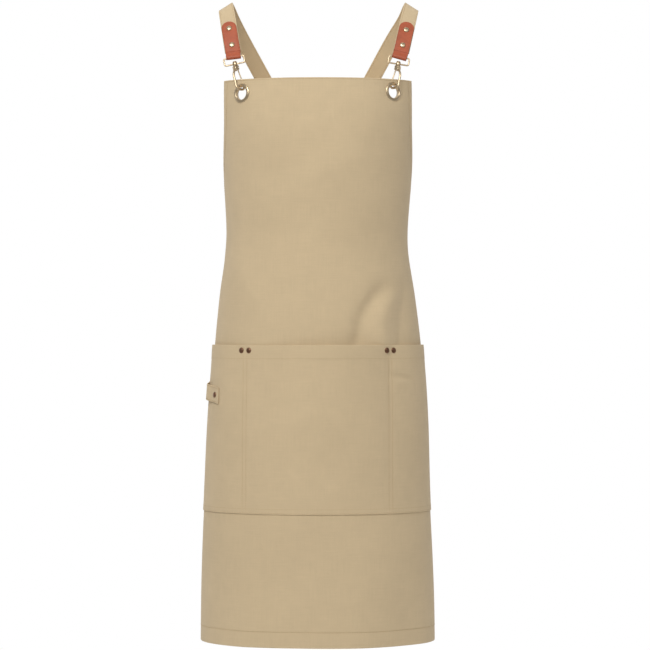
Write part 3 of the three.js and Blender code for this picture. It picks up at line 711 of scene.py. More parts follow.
def panel_rows():
    near_top = BIB_TOP - EDGE_STEPS
    middle = np.concatenate([
        span_between(near_top[-1], -0.34, 3.2 * MM)[1:],
        span_between(-0.34, WAIST, 1.3 * MM)[1:],
        span_between(WAIST, HEM + 0.034, 3.6 * MM)[1:],
    ])
    return np.concatenate([near_top, middle, HEM + HEM_STEPS])


def panel_columns(z):
    """The distances along the cloth of the panel's grid at one height, denser at the hems."""
    wide = float(half_width(z))
    if z > WAIST:
        slope = float(half_width(max(z - 1 * MM, WAIST)) - half_width(z + 1 * MM)) / (2 * MM)
        stretch = min(math.hypot(1, slope), 3.2)
    else:
        stretch = 1 + 2.2 * float(smoothstep(60 * MM, 0, WAIST - z))
    edge = EDGE_STEPS * stretch
    inner = np.linspace(-(wide - edge[-1]), wide - edge[-1], 171)[1:-1]
    return np.concatenate([-(wide - edge), inner, (wide - edge)[::-1]])


def hem_lines():
    """The runs of stitching that show on the panel, as (along, z) points."""
    bib = np.concatenate([np.linspace(BIB_TOP - 3 * MM, -0.34, 90), np.linspace(-0.341, WAIST + 6 * MM, 40)])
    slope = np.gradient(half_width(bib), bib)
    inset = (sizes().hem - 1.8 * MM) * np.hypot(1, np.minimum(np.abs(slope), 3.2))
    edge = np.stack([half_width(bib) - inset, bib], axis=1)
    low = np.linspace(WAIST + 3 * MM, HEM + 2 * MM, 120)
    side = np.stack([np.full(len(low), WAIST_HALF - sizes().hem + 1.8 * MM), low], axis=1)
    both = [edge, edge * (-1, 1), side, side * (-1, 1)]
    across = np.linspace(-1, 1, 160)
    top = BIB_TOP - 2.2 * MM
    bottom = HEM + sizes().bottom_hem - 1.8 * MM
    both.append(np.stack([across * (float(half_width(top)) - 2 * MM), np.full(160, top)], axis=1))
    both.append(np.stack([across * (WAIST_HALF - 2 * MM), np.full(160, bottom)], axis=1))
    return both


def cloth_line(run, off):
    """Points and normals of a run of stitches on the cloth, `off` above the form at each point."""
    along, z = run[:, 0], run[:, 1]
    return on_form(along, z, off(along, z)), form_normals(along, z)


def drill(piece, where, radius, reach=0.02):
    """Cuts a round hole through a piece, along the +Z of a frame."""
    rod = tube([(0, 0, -reach), (0, 0, reach)], radius, 56)
    cutter = mesh_object("cutter", *moved(rod, where))
    change = piece.modifiers.new("hole", "BOOLEAN")
    change.object = cutter
    change.operation = "DIFFERENCE"
    change.solver = "EXACT"
    graph = bpy.context.evaluated_depsgraph_get()
    done = bpy.data.meshes.new_from_object(piece.evaluated_get(graph))
    piece.modifiers.clear()
    old = piece.data
    piece.data = done
    bpy.data.meshes.remove(old)
    bpy.data.objects.remove(cutter)


def cloth_frame(along, z, off):
    """A frame on the cloth: +Z out of it, +X level."""
    normal = form_normals(along, z)
    side = unit(np.cross((0, 0, -1), normal))
    return frame_of(on_form(along, z, off), side, np.cross(normal, side), normal)


def eyelet_frame(side):
    """The frame of an eyelet, on the outer face of the bib."""
    return cloth_frame(-side["way"] * EYELET_ALONG, side["eyelet"], CANVAS_ROOM)


class APRON_OT_panel(Operator):
    """Makes the canvas panel with its hems, and the facing behind the top of the bib."""
    bl_idname = "apron.panel"
    bl_label = "Panel and facing"

    def execute(self, context):
        cloth = sizes().cloth
        hem = sizes().hem
        rows = panel_rows()
        along = np.array([panel_columns(z) for z in rows])
        z = np.repeat(rows[:, None], along.shape[1], axis=1)
        flat = np.stack([along.ravel(), z.ravel()], axis=1)
        edge = distance_to(flat, outline()).reshape(z.shape)
        bottom = z - HEM
        turned = np.maximum(smoothstep(hem + 0.5 * MM, hem - 0.5 * MM, edge),
                            smoothstep(sizes().bottom_hem + 0.5 * MM, sizes().bottom_hem - 0.5 * MM, bottom))
        at_top = smoothstep(14.5 * MM, 13.5 * MM, BIB_TOP - z)
        turned = np.where(z > BIB_TOP - 15 * MM, np.maximum(turned, at_top), turned)
        off = panel_off(along, z)
        thick = cloth + turned * 1.5 * cloth
        seam = np.exp(-((edge - hem + 1.8 * MM) / (0.8 * MM)) ** 2)
        seam += np.exp(-((bottom - sizes().bottom_hem + 1.8 * MM) / (0.8 * MM)) ** 2)
        pucker = 0.06 * MM * np.sin(along * 900 + z * 310)
        pucker = pucker * smoothstep(30 * MM, 8 * MM, np.minimum(edge, bottom))
        dip = -0.07 * MM * np.minimum(seam, 1) + 0.05 * MM * turned + pucker
        fall = edge_fall(edge, 1.2 * MM)
        middle = off + CANVAS_ROOM / 2 - 0.15 * MM * turned
        high = on_form(along, z, middle + (CANVAS_ROOM / 2 + dip) * fall)
        low = on_form(along, z, middle - (thick - CANVAS_ROOM / 2) * fall)
        panel = slab("apron_panel_cloth", low, high, flat.reshape(*z.shape, 2))
        for side in SIDES.values():
            drill(panel, eyelet_frame(side), 11.2 * MM)
        finish_piece(panel, "apron", "canvas", material("canvas"), "apron_panel")

        def surface(u, v):
            return panel_off(u, v) + CANVAS_ROOM

        lines = [cloth_line(run, surface) for run in hem_lines()]
        threads = stitch_piece("apron_panel_stitches", lines, material("thread"))
        self.facing()
        return {"FINISHED"}

    def facing(self):
        """The doubled strip inside the top of the bib."""
        inset = 3 * MM
        bottom = BIB_TOP - FACING_DEEP
        rows = np.concatenate([
            BIB_TOP - 1.2 * MM - EDGE_STEPS[:6],
            span_between(BIB_TOP - 4 * MM, bottom + 3 * MM, 3 * MM),
            bottom + EDGE_STEPS[5::-1],
        ])
        share = np.linspace(-1, 1, 150)
        wide = half_width(rows) - inset
        along = share[None, :] * wide[:, None]
        z = np.repeat(rows[:, None], len(share), axis=1)
        side = (1 - np.abs(share))[None, :] * wide[:, None]
        ends = np.minimum(BIB_TOP - 1.2 * MM - z, z - BIB_TOP + FACING_DEEP)
        fall = edge_fall(np.minimum(side, ends), 0.8 * MM)
        hems = smoothstep(15.5 * MM, 13 * MM, half_width(z) - np.abs(along)) + smoothstep(
            15.5 * MM, 14.5 * MM, BIB_TOP - z)
        off = panel_off(along, z) - 0.65 * MM - 1.5 * MM * np.minimum(hems, 1)
        high = on_form(along, z, off)
        low = on_form(along, z, off - sizes().cloth * fall)
        facing = slab("bib_facing_cloth", low, high, np.stack([along, z], axis=-1))
        for side in SIDES.values():
            drill(facing, eyelet_frame(side), 11.2 * MM)
        finish_piece(facing, "apron", "canvas", material("canvas"), "bib_facing")


# ---- the pocket and the towel loop ----

def pocket_stand(along, z):
    """How far the pocket stands off the panel: sewn at its seams, slack and open at the mouth."""
    inner = np.abs(along) < POCKET_SEAM
    span = np.where(inner, 2 * POCKET_SEAM, POCKET_HALF - POCKET_SEAM)
    from_seam = np.where(inner, along, np.abs(along)) - np.where(inner, -POCKET_SEAM, POCKET_SEAM)
    share = np.clip(from_seam / span, 0, 1)
    across = np.where(inner, np.sin(math.pi * share**1.7), np.sin(math.pi * share**0.8))
    up = np.clip((z - POCKET_BOTTOM) / (POCKET_TOP - POCKET_BOTTOM), 0, 1)
    swell = np.where(inner, 8.2 * MM, 3.0 * MM)
    mouth = np.where(inner, 2.2 * MM, 0.8 * MM) * smoothstep(0.86, 1.0, up)
    return CANVAS_ROOM + 0.25 * MM + across * (swell * np.sin(math.pi / 2 * up) ** 1.6 + mouth)


def pocket_base(along, z):
    """How far the pocket's inner face stands off the form: past the panel, but with folds of its own."""
    own = cloth_off(along, z, (POCKET_FOLDS, SKIRT_FOLDS))
    stand = pocket_stand(along, z)
    pushed = panel_off(along, z) - own - 0.7 * (stand - CANVAS_ROOM)
    return own + stand + np.maximum(pushed, 0)


def pocket_surface(along, z):
    return pocket_base(along, z) + 0.95 * MM


POCKET_HEM = 22 * MM
DIVIDER_ROWS = 3.2 * MM


class APRON_OT_pocket(Operator):
    """Makes the wide front pocket with its hemmed mouth and its two dividing seams."""
    bl_idname = "apron.pocket"
    bl_label = "Pocket"

    def execute(self, context):
        steps = EDGE_STEPS[:9]
        top = POCKET_TOP - np.concatenate([steps, np.array([12, 16, 19, 20.5, 21.4, 22.2, 23.2, 26]) * MM])
        low = POCKET_BOTTOM + steps[::-1]
        rows = np.concatenate([top, span_between(top[-1], low[0], 3.2 * MM)[1:-1], low])
        near = np.concatenate([steps, np.array([10, 12.5]) * MM])
        around = [0, 1.0, 2.2, 3.2, 4.2, 6.5, 10]
        seam = np.array([-s for s in around[:0:-1]] + around) * MM
        outer = span_between(POCKET_SEAM + seam[-1], POCKET_HALF - near[-1], 3.4 * MM)[1:-1]
        inner = span_between(0, POCKET_SEAM + seam[0], 3.4 * MM)[1:-1]
        half = np.concatenate([inner, POCKET_SEAM + seam, outer, POCKET_HALF - near[::-1]])
        columns = np.concatenate([-half[::-1], [0], half])
        along, z = np.meshgrid(columns, rows)
        edge = np.minimum.reduce([POCKET_HALF - np.abs(along), POCKET_TOP - z, z - POCKET_BOTTOM])
        hem = smoothstep(POCKET_HEM + 0.6 * MM, POCKET_HEM - 0.6 * MM, POCKET_TOP - z)
        rim = smoothstep(10 * MM, 8.6 * MM, np.minimum(POCKET_HALF - np.abs(along), z - POCKET_BOTTOM))
        dip = np.exp(-((POCKET_TOP - z - POCKET_HEM + 1.6 * MM) / (0.8 * MM)) ** 2)
        dip += np.exp(-((np.abs(np.abs(along) - POCKET_SEAM) - DIVIDER_ROWS) / (0.8 * MM)) ** 2) * (1 - hem)
        outer_row, inner_row = (np.exp(-((edge - row) / (0.7 * MM)) ** 2) for row in (2 * MM, 8 * MM))
        dip += outer_row + inner_row * (1 - hem)
        pucker = 0.08 * MM * np.sin(z * 520) * np.exp(-((np.abs(along) - POCKET_SEAM) / (9 * MM)) ** 2)
        pucker += 0.06 * MM * np.sin(along * 620) * smoothstep(40 * MM, 15 * MM, POCKET_TOP - z)
        base = pocket_base(along, z)
        layers = 0.18 * MM * np.maximum(hem, rim)
        fall = edge_fall(edge, 1.0 * MM)
        middle = base + 0.5 * MM
        above = 0.45 * MM + layers - 0.07 * MM * np.minimum(dip, 1) + pucker
        below = 0.45 * MM + 0.9 * MM * hem * smoothstep(0, 4 * MM, pocket_stand(along, z) - 1.5 * MM)
        top_side = on_form(along, z, middle + above * fall)
        under = on_form(along, z, middle - below * fall)
        pocket = slab("pocket_cloth", under, top_side, np.stack([along, z + 0.0004], axis=-1))
        finish_piece(pocket, "apron", "canvas", material("canvas"), "pocket_panel")
        threads = stitch_piece("pocket_stitches", self.lines(), material("thread"))
        return {"FINISHED"}

    def lines(self):
        across = np.linspace(-1, 1, 200)
        runs = []
        mouth = POCKET_TOP - POCKET_HEM + 1.6 * MM
        runs.append(np.stack([across * (POCKET_HALF - 3 * MM), np.full(200, mouth)], axis=1))
        for inset in (2 * MM, 8 * MM):
            wide = POCKET_HALF - inset
            runs.append(np.stack([across * wide, np.full(200, POCKET_BOTTOM + inset)], axis=1))
            height = np.linspace(POCKET_TOP - 2 * MM, POCKET_BOTTOM + inset, 100)
            for way in (-1, 1):
                runs.append(np.stack([np.full(100, way * wide), height], axis=1))
        height = np.linspace(POCKET_TOP - 2.5 * MM, POCKET_BOTTOM + 2 * MM, 100)
        for way in (-1, 1):
            for row in (-DIVIDER_ROWS, DIVIDER_ROWS):
                runs.append(np.stack([np.full(100, way * POCKET_SEAM + row), height], axis=1))
        return [cloth_line(run, pocket_surface) for run in runs]


LOOP_FROM = -0.1685
LOOP_TO = -0.2305
LOOP_Z = -0.6075
LOOP_RISE = 0.009
LOOP_HALF = 0.0125


def loop_height(along):
    return LOOP_Z + (LOOP_FROM - along) * LOOP_RISE / (LOOP_FROM - LOOP_TO)


class APRON_OT_towel_loop(Operator):
    """Makes the short towel loop at the wearer's right of the pocket."""
    bl_idname = "apron.towel_loop"
    bl_label = "Towel loop"

    def execute(self, context):
        travel = np.concatenate([LOOP_FROM - EDGE_STEPS[:7], span_between(
            LOOP_FROM - 6 * MM, LOOP_TO + 6 * MM, 1 * MM), LOOP_TO + EDGE_STEPS[6::-1]])
        inset = np.array([0, 0.12, 0.35, 0.8, 1.4, 2.0, 2.8, 5.0, 8.5])
        across = np.concatenate([-12.5 + inset, [0], 12.5 - inset[::-1]]) * MM
        along = np.repeat(travel[:, None], len(across), axis=1)
        z = loop_height(along) + np.repeat(across[None, :], len(travel), axis=0)
        free = (LOOP_FROM - 16 * MM - along) / (LOOP_FROM - 16 * MM - LOOP_TO - 8 * MM)
        lift = 3.8 * MM * np.sin(math.pi * np.clip(free, 0, 1)) ** 2
        base = pocket_surface(along, loop_height(along)) + 0.35 * MM + lift
        from_side = LOOP_HALF - np.abs(z - loop_height(along))
        edge = np.minimum.reduce([from_side, LOOP_FROM - along, along - LOOP_TO])
        dip = np.exp(-((edge - 2 * MM) / (0.7 * MM)) ** 2) * 0.2 * MM
        fall = edge_fall(edge, 0.9 * MM)
        low = on_form(along, z, base + 0.75 * MM - 0.75 * MM * fall)
        high = on_form(along, z, base + 0.75 * MM + (0.75 * MM - dip) * fall)
        loop = slab("towel_loop_cloth", low[:, ::-1], high[:, ::-1], np.stack([z, along], axis=-1)[:, ::-1])
        finish_piece(loop, "apron", "canvas", material("canvas"), "towel_loop")
        runs = []
        for way in (-1, 1):
            line = np.linspace(LOOP_FROM - 2 * MM, LOOP_TO + 2 * MM, 80)
            height = loop_height(line) + way * (LOOP_HALF - 2 * MM)
            free = np.clip((LOOP_FROM - 16 * MM - line) / (LOOP_FROM - 16 * MM - LOOP_TO - 8 * MM), 0, 1)
            off = pocket_surface(line, loop_height(line)) + 1.8 * MM + 3.8 * MM * np.sin(math.pi * free) ** 2
            runs.append((on_form(line, height, off), form_normals(line, height)))
        threads = stitch_piece("towel_loop_stitches", runs, material("thread"))
        return {"FINISHED"}


# ---- the straps ----

RING_REACH = 11.5 * MM
STRAP_HALF = 12.5 * MM
STRAP_THICK = 1.6 * MM
PAIR_OFF = 1.1 * MM
LOOP_OFF = 2.4 * MM
TAIL = 84 * MM
SWIVEL_Y = -0.051
SWIVEL_Z = -0.096


def waist_frame():
    """The waist ring's frame at the wearer's left: its lower bar, +Z up the strap, +X across it."""
    bar = on_form(0.316, -0.352, CANVAS_ROOM / 2)
    facing = form_normals(0.316, -0.352)
    up = unit(np.array([0, 0.118, -0.250]) - bar)
    across = unit(np.cross(facing, up))
    return frame_of(bar, across, unit(np.cross(up, across)), up)


def on_waist_strap(waist, up, out):
    """A point on the strap above the waist ring."""
    return waist[:3, 3] + waist[:3, 2] * (RING_REACH + up) + waist[:3, 1] * out


def front_line(side):
    """Points and across directions of the strap's front stretch, for the wearer's right."""
    def row(z, y, across):
        lean = 1 - z / SWIVEL_Z
        return (side["swivel"] + (side["crest"] - side["swivel"]) * lean, y, z), across
    return [
        row(-0.077, -0.0436, (0.98, 0.02, 0.19)), row(-0.058, -0.0354, (0.98, 0.02, 0.19)),
        row(-0.038, -0.0254, (0.975, 0, 0.22)), row(-0.018, -0.0126, (0.94, 0, 0.33)),
        row(-0.005, 0, (0.88, 0, 0.47)),
    ]


def strap_line(side, waist):
    crest, lift = side["crest"], side["lift"]
    flat = waist[:3, 0]
    high = waist[:3, 3] + waist[:3, 2] * RING_REACH
    crossing = -high[0] / waist[0, 2]
    return front_line(side) + [
        ((crest, 0.013, -0.0005), (0.84, 0, 0.54)),
        ((crest + 0.003, 0.027, -0.005), (0.84, 0.04, 0.54)),
        ((crest + 0.009, 0.042, -0.018), (0.84, 0.08, 0.53)),
        ((-0.119, 0.064, -0.048), (0.85, 0.1, 0.52)),
        ((-0.088, 0.088, -0.104), (0.85, 0.12, 0.5)),
        ((-0.045, 0.109 + lift, -0.176), (0.86, 0.08, 0.5)),
        (on_waist_strap(waist, crossing, lift - PAIR_OFF), (0.87, 0, 0.49)),
        (on_waist_strap(waist, 0.074, -PAIR_OFF), flat),
        (on_waist_strap(waist, 0.050, -PAIR_OFF), flat),
        (on_waist_strap(waist, 0.024, -PAIR_OFF), flat),
        (on_waist_strap(waist, 0.001, -LOOP_OFF), flat),
    ]


def square_up(points, across):
    """Unit across and out directions of a strip along `points`."""
    tangent = unit(np.gradient(points, axis=0))
    across = unit(across - tangent * (across * tangent).sum(axis=1, keepdims=True))
    return across, np.cross(across, tangent)


def round_bar(centre, out, down, radius, count):
    """Points half way round a bar, and the directions away from it."""
    turn = np.linspace(0, math.pi, count + 2)[1:-1, None]
    away = out * np.cos(turn) + down * np.sin(turn)
    return centre + away * radius, away


def strip(points, across, out, offsets, low, high):
    """Two grids of a strip's faces from its middle line; offsets, low and high are per row or column."""
    middle = points[:, None] + across[:, None] * np.asarray(offsets)[..., None]
    return middle + out[:, None] * low[..., None], middle + out[:, None] * high[..., None]


STRIP_STEPS = np.array([0, 0.12, 0.35, 0.75, 1.2, 1.7, 2.2, 2.7, 3.4, 5.6, 8.6]) * MM


def reflected(points, way):
    return points * (way, 1, 1)


class APRON_OT_straps(Operator):
    """Makes the two shoulder straps, which cross behind and double back through the waist rings."""
    bl_idname = "apron.straps"
    bl_label = "Shoulder straps"

    def execute(self, context):
        for name, side in SIDES.items():
            self.strap(name, side)
        return {"FINISHED"}

    def strap(self, name, side):
        waist = waist_frame()
        across_way, out_way, up_way = waist[:3, 0], waist[:3, 1], waist[:3, 2]
        line = strap_line(side, waist)
        path = catmull([point for point, _ in line], 2400)
        guide = catmull([across for _, across in line], 2400)
        travelled = lengths(path)
        where = np.linspace(0, travelled[-1], int(travelled[-1] / (2.4 * MM)))
        points = at_lengths(path, travelled, where)
        across, out = square_up(points, at_lengths(guide, travelled, where))
        bar = on_waist_strap(waist, 0, 0)
        bend, away = round_bar(bar, -out_way, -up_way, LOOP_OFF, 11)
        high = np.linspace(1 * MM, TAIL, 34)
        tail = np.array([on_waist_strap(waist, h, LOOP_OFF + (PAIR_OFF - LOOP_OFF) * float(
            smoothstep(1 * MM, 18 * MM, h)) + 1 * MM * float(smoothstep(70 * MM, TAIL, h))) for h in high])
        points = np.vstack([points, bend, tail])
        across = np.vstack([across, np.repeat(across_way[None], len(bend) + len(tail), axis=0)])
        out = np.vstack([out, -away, np.repeat(-out_way[None], len(tail), axis=0)])
        travelled = lengths(points)
        offsets = np.concatenate([STRAP_HALF - STRIP_STEPS, [0], STRIP_STEPS[::-1] - STRAP_HALF])
        wobble = 0.25 * MM * np.sin(travelled * 37 + side["crest"] * 90)
        wide = offsets[None, :] * (1 + 0.006 * np.sin(travelled * 61)[:, None]) + wobble[:, None]
        ends = np.minimum(travelled, travelled[-1] - travelled)[:, None]
        edge = np.minimum(STRAP_HALF - np.abs(offsets)[None, :], ends)
        fall = edge_fall(edge, 0.8 * MM)
        groove = 0.20 * MM * np.exp(-((STRAP_HALF - np.abs(offsets) - 2.2 * MM) / (0.6 * MM)) ** 2)[None, :]
        puff = 0.07 * MM * np.sin(travelled * 700)[:, None] * np.exp(-(edge / (4 * MM)) ** 2)
        half = STRAP_THICK / 2
        rise = (half - groove + puff) * fall
        low, top = strip(points, across, out, wide, -rise, rise)
        uv = np.stack(np.broadcast_arrays(offsets[None, :], travelled[:, None]), axis=-1)
        way = side["way"]
        piece = slab(f"strap_{name}_cloth", reflected(low, way), reflected(top, way), uv, way)
        finish_piece(piece, "apron", "canvas", material("canvas"), f"strap_{name}")
        runs = []
        for edge_side in (-1, 1):
            for face in (-1, 1):
                row = points + across * edge_side * (STRAP_HALF - 2.2 * MM) + out * face * (half - 0.1 * MM)
                runs.append((reflected(row, way), reflected(out * face, way)))
        threads = stitch_piece(f"strap_{name}_stitches", runs, material("thread"))


# ---- the front tabs and hooks ----

LEATHER = 1.8 * MM
TAB_HALF = 11.7 * MM
TAB_LONG = 64 * MM
TAB_FLAT = 2.2 * MM
TAB_LOOP = 2.5 * MM
STRAP_END = 9.4 * MM


def side_frame(name, kind):
    """The frame of a side's ring or hook, from the joints: +Z up the strap."""
    way = SIDES[name]["way"]
    swivel = JOINTS[f"hook_swivel_{name}"]
    up = unit(np.array(swivel["axis"], float))
    if kind == "ring":
        x = unit(np.array(JOINTS[f"ring_tilt_{name}"]["axis"], float))
        return frame_of(swivel["pos_m"], x, way * np.cross(up, x), up)
    y = way * unit(np.array(JOINTS[f"gate_open_{name}"]["axis"], float))
    return frame_of(swivel["pos_m"], way * np.cross(y, up), y, up)


class TabPath:
    """The middle line of a leather tab and the strap in it, from the ring's bar upwards."""

    def __init__(self, name):
        side = SIDES[name]
        ring = side_frame(name, "ring")
        mirror = (side["way"], 1, 1)
        bar = (ring[:3, 3] + ring[:3, 2] * RING_REACH) * mirror
        level = ring[:3, 0] * mirror
        line = [(bar, level)] + front_line(side)
        path = catmull([point for point, _ in line], 1200)
        guide = catmull([across for _, across in line], 1200)
        self.bar = bar
        self.travelled = lengths(path)
        self.path = path
        self.across, self.out = square_up(path, guide)

    def at(self, along):
        return (at_lengths(self.path, self.travelled, along),
                unit(at_lengths(self.across, self.travelled, along)),
                unit(at_lengths(self.out, self.travelled, along)))

    def stand(self, along):
        """How far a leaf stands off the middle line: the strap inside, the pinch below it, the bar."""
        pinched = 1.25 * MM
        off = pinched + (TAB_FLAT - pinched) * smoothstep(STRAP_END - 1.2 * MM, STRAP_END + 1.2 * MM, along)
        return off + (TAB_LOOP - pinched) * smoothstep(6.5 * MM, 0.5 * MM, along)


def tab_half(along):
    near = smoothstep(0, 12 * MM, along)
    rise = np.clip((TAB_LONG - along) / TAB_HALF, 0, 1)
    return TAB_HALF * np.sqrt(np.maximum(1 - (1 - rise) ** 2, 0.0004)) * (1 - 0.02 * (1 - near))


class APRON_OT_leather_tabs(Operator):
    """Makes the two leather tabs, each folded round its ring with a creased line along its edge."""
    bl_idname = "apron.leather_tabs"
    bl_label = "Leather tabs"

    def execute(self, context):
        for name, side in SIDES.items():
            self.tab(name, side["way"])
        return {"FINISHED"}

    def tab(self, name, way):
        route = TabPath(name)
        tip = TAB_LONG - TIP_STEPS
        leaf = np.concatenate([tip, span_between(tip[-1], 14 * MM, 1.6 * MM)[1:],
                               span_between(14 * MM, 0.4 * MM, 0.55 * MM)[1:]])
        point, across, out = route.at(leaf)
        off = route.stand(leaf)[:, None]
        front = point + out * off
        behind = (point - out * off)[::-1]
        bend, away = round_bar(route.bar, out[-1], unit(route.bar - point[-14]), TAB_LOOP, 11)
        points = np.vstack([front, bend, behind])
        normal = np.vstack([out, away, -out[::-1]])
        level = np.vstack([across, np.repeat(across[-1:], len(bend), axis=0), across[::-1]])
        along = np.concatenate([leaf, np.zeros(len(bend)), leaf[::-1]])
        shares = np.array([1, 0.99, 0.968, 0.93, 0.885, 0.856, 0.829, 0.802, 0.76, 0.66, 0.5, 0.33, 0.16])
        shares = np.concatenate([shares, [0], -shares[::-1]])
        half = tab_half(along)
        across_at = -shares[None, :] * half[:, None]
        beyond = np.maximum(along - (TAB_LONG - TAB_HALF), 0)[:, None]
        from_tip = TAB_HALF - np.hypot(across_at, beyond)
        edge = np.maximum(np.minimum(from_tip, half[:, None] - np.abs(across_at)), 0)
        fall = edge_fall(edge, 0.6 * MM)
        groove = 0.28 * MM * np.exp(-((edge - 1.9 * MM) / (0.42 * MM)) ** 2)
        crease = 0.22 * MM * np.exp(-((along - STRAP_END + 0.8 * MM) / (0.9 * MM)) ** 2)[:, None]
        press = np.zeros_like(edge)
        for height in SIDES[name]["rivets"]:
            up = float(np.interp(height, route.path[:, 2], route.travelled))
            away = np.hypot(across_at, (along - up)[:, None])
            press += 0.25 * MM * np.exp(-((away - 4.4 * MM) / (1.4 * MM)) ** 2)
        low, high = strip(points, level, normal, across_at, -LEATHER / 2 * fall,
                          (LEATHER / 2 - groove - crease - press) * fall)
        travelled = lengths(points)
        uv = np.stack(np.broadcast_arrays(across_at, travelled[:, None]), axis=-1)
        piece = slab(f"leather_tab_{name}_hide", reflected(low, way), reflected(high, way), uv, way)
        finish_piece(piece, "apron", "leather", material("leather"), f"leather_tab_{name}")
        self.burnish(piece, len(points), len(shares))

    def burnish(self, piece, rows, columns):
        """Gives the cut edge its darker, polished finish."""
        piece.data.materials.append(material("leather_edge"))
        index = np.zeros(len(piece.data.polygons), dtype=np.int32)
        each = (rows - 1) * (columns - 1)
        column = np.arange(2 * each) % (columns - 1)
        index[:2 * each] = (column < 2) | (column > columns - 4)
        index[2 * each:] = 1
        piece.data.polygons.foreach_set("material_index", index)


def dome(radius, high, rim=0.35 * MM):
    """The outline of a domed cap from its axis down to its under side."""
    top = []
    for share in np.linspace(0, 1, 9):
        turn = share * math.pi / 2
        top.append((radius * math.sin(turn) * 0.97, rim + (high - rim) * math.cos(turn)))
    return top + [(radius, rim * 0.75), (radius, rim * 0.2), (radius * 0.97, 0), (0, 0)]


def turned(name, profiles, frames, body, slot, *nodes):
    """Turned metal pieces as one object: each frame gets every (profile, segments)."""
    parts = [moved(lathe(profile[::-1], segments), where)
             for where in frames for profile, segments in profiles]
    piece = mesh_object(name, *together(parts))
    return finish_piece(piece, body, slot, material(slot), *nodes)


RIVET_CAP = 4.4 * MM
RIVET_HIGH = 1.9 * MM


def shank(deep):
    """The post of a rivet."""
    return [(0, 0.2 * MM), (1.45 * MM, 0.2 * MM), (1.45 * MM, -deep), (0, -deep)]


def burr(inner=1.5 * MM, outer=4.0 * MM):
    """The washer pressed on a rivet's far end, its face towards +Z."""
    return [(inner, 0), (inner, 0.75 * MM), (inner + 0.2 * MM, 0.9 * MM), (outer - 0.35 * MM, 0.75 * MM),
            (outer, 0.45 * MM), (outer, 0.1 * MM), (outer - 0.15 * MM, 0), (inner, 0)]


def peened():
    """The hammered end of a rivet's post on its burr."""
    return [(0, 1.35 * MM), (0.9 * MM, 1.3 * MM), (1.7 * MM, 1.05 * MM), (1.95 * MM, 0.8 * MM),
            (1.4 * MM, 0.6 * MM), (0, 0.6 * MM)]


def turned_over(where, deep):
    """The frame at the far end of a rivet's post, facing away from its cap."""
    back = where.copy()
    back[:3, 3] = where[:3, 3] - where[:3, 2] * deep
    back[:3, 1:3] *= -1
    return back


class APRON_OT_rivets(Operator):
    """Makes the brass rivets of the tabs and the dark ones of the pocket and the towel loop."""
    bl_idname = "apron.rivets"
    bl_label = "Rivets"

    def execute(self, context):
        for name, side in SIDES.items():
            route = TabPath(name)
            for label, height in zip(("upper", "lower"), side["rivets"]):
                up = np.interp(height, route.path[:, 2], route.travelled)
                point, across, out = (row[0] for row in route.at(np.array([up])))
                where = frame_of(point + out * (TAB_FLAT + LEATHER / 2 - 0.1 * MM), across,
                                 np.cross(out, across), out)
                where = np.diag([side["way"], 1, 1, 1]) @ where
                self.pair(f"tab_{{}}_{label}_{name}", where, 2 * (TAB_FLAT + LEATHER / 2), "brass")
        for label, along in (("right_outer", -1.057), ("right_inner", -0.943), ("left_inner", 0.943),
                             ("left_outer", 1.057)):
            u, z = along * POCKET_SEAM, POCKET_TOP - 8 * MM
            off = float(pocket_surface(u, z)) + 0.15 * MM
            self.pair(f"pocket_{{}}_{label}", cloth_frame(u, z, off), 5.2 * MM, "dark_brass")
        u = LOOP_FROM - 10 * MM
        off = float(pocket_surface(u, loop_height(u))) + 1.9 * MM
        self.pair("loop_{}", cloth_frame(u, float(loop_height(u)), off), 3.8 * MM, "dark_brass")
        return {"FINISHED"}

    def pair(self, name, where, deep, slot):
        """A cap with its post, and the burr and hammered end behind."""
        cap, back = name.format("rivet"), name.format("burr")
        turned(f"{cap}_cap", [(dome(RIVET_CAP, RIVET_HIGH), 40), (shank(deep + 0.5 * MM), 20)], [where],
               "apron", slot, cap)
        turned(f"{back}_ring", [(burr(), 36), (peened(), 24)], [turned_over(where, deep)],
               "apron", slot, back)


class APRON_OT_eyelets(Operator):
    """Makes the two large brass eyelets of the bib with their washers behind."""
    bl_idname = "apron.eyelets"
    bl_label = "Eyelets"

    def execute(self, context):
        front = np.array([
            (10.0, -4.6), (9.95, 0.2), (10.15, 0.75), (10.7, 1.2), (11.5, 1.45), (12.5, 1.45), (13.5, 1.2),
            (14.4, 0.75), (14.95, 0.25), (15.0, 0.02), (14.8, -0.12), (14.3, -0.05), (11.1, -0.05),
            (10.9, -4.6),
            (10.0, -4.6),
        ]) * MM
        back = np.array([
            (10.95, -3.9), (14.9, -3.9), (15.0, -4.1), (14.8, -4.5), (13.4, -4.9), (12.0, -5.0), (11.0, -4.8),
            (10.95, -3.9),
        ]) * MM
        curl = np.array([
            (10.0, -4.5), (10.9, -4.5), (11.6, -4.85), (12.2, -4.9), (12.3, -5.25), (11.6, -5.5),
            (10.7, -5.35),
            (10.1, -4.9), (10.0, -4.5),
        ]) * MM
        for name, side in SIDES.items():
            where = eyelet_frame(side)
            turned(f"eyelet_{name}_grommet", [(front, 72), (curl, 72)], [where], "apron", "brass",
                   f"eyelet_{name}")
            turned(f"eyelet_{name}_washer", [(back, 72)], [where], "apron", "brass", f"eyelet_washer_{name}")
        return {"FINISHED"}


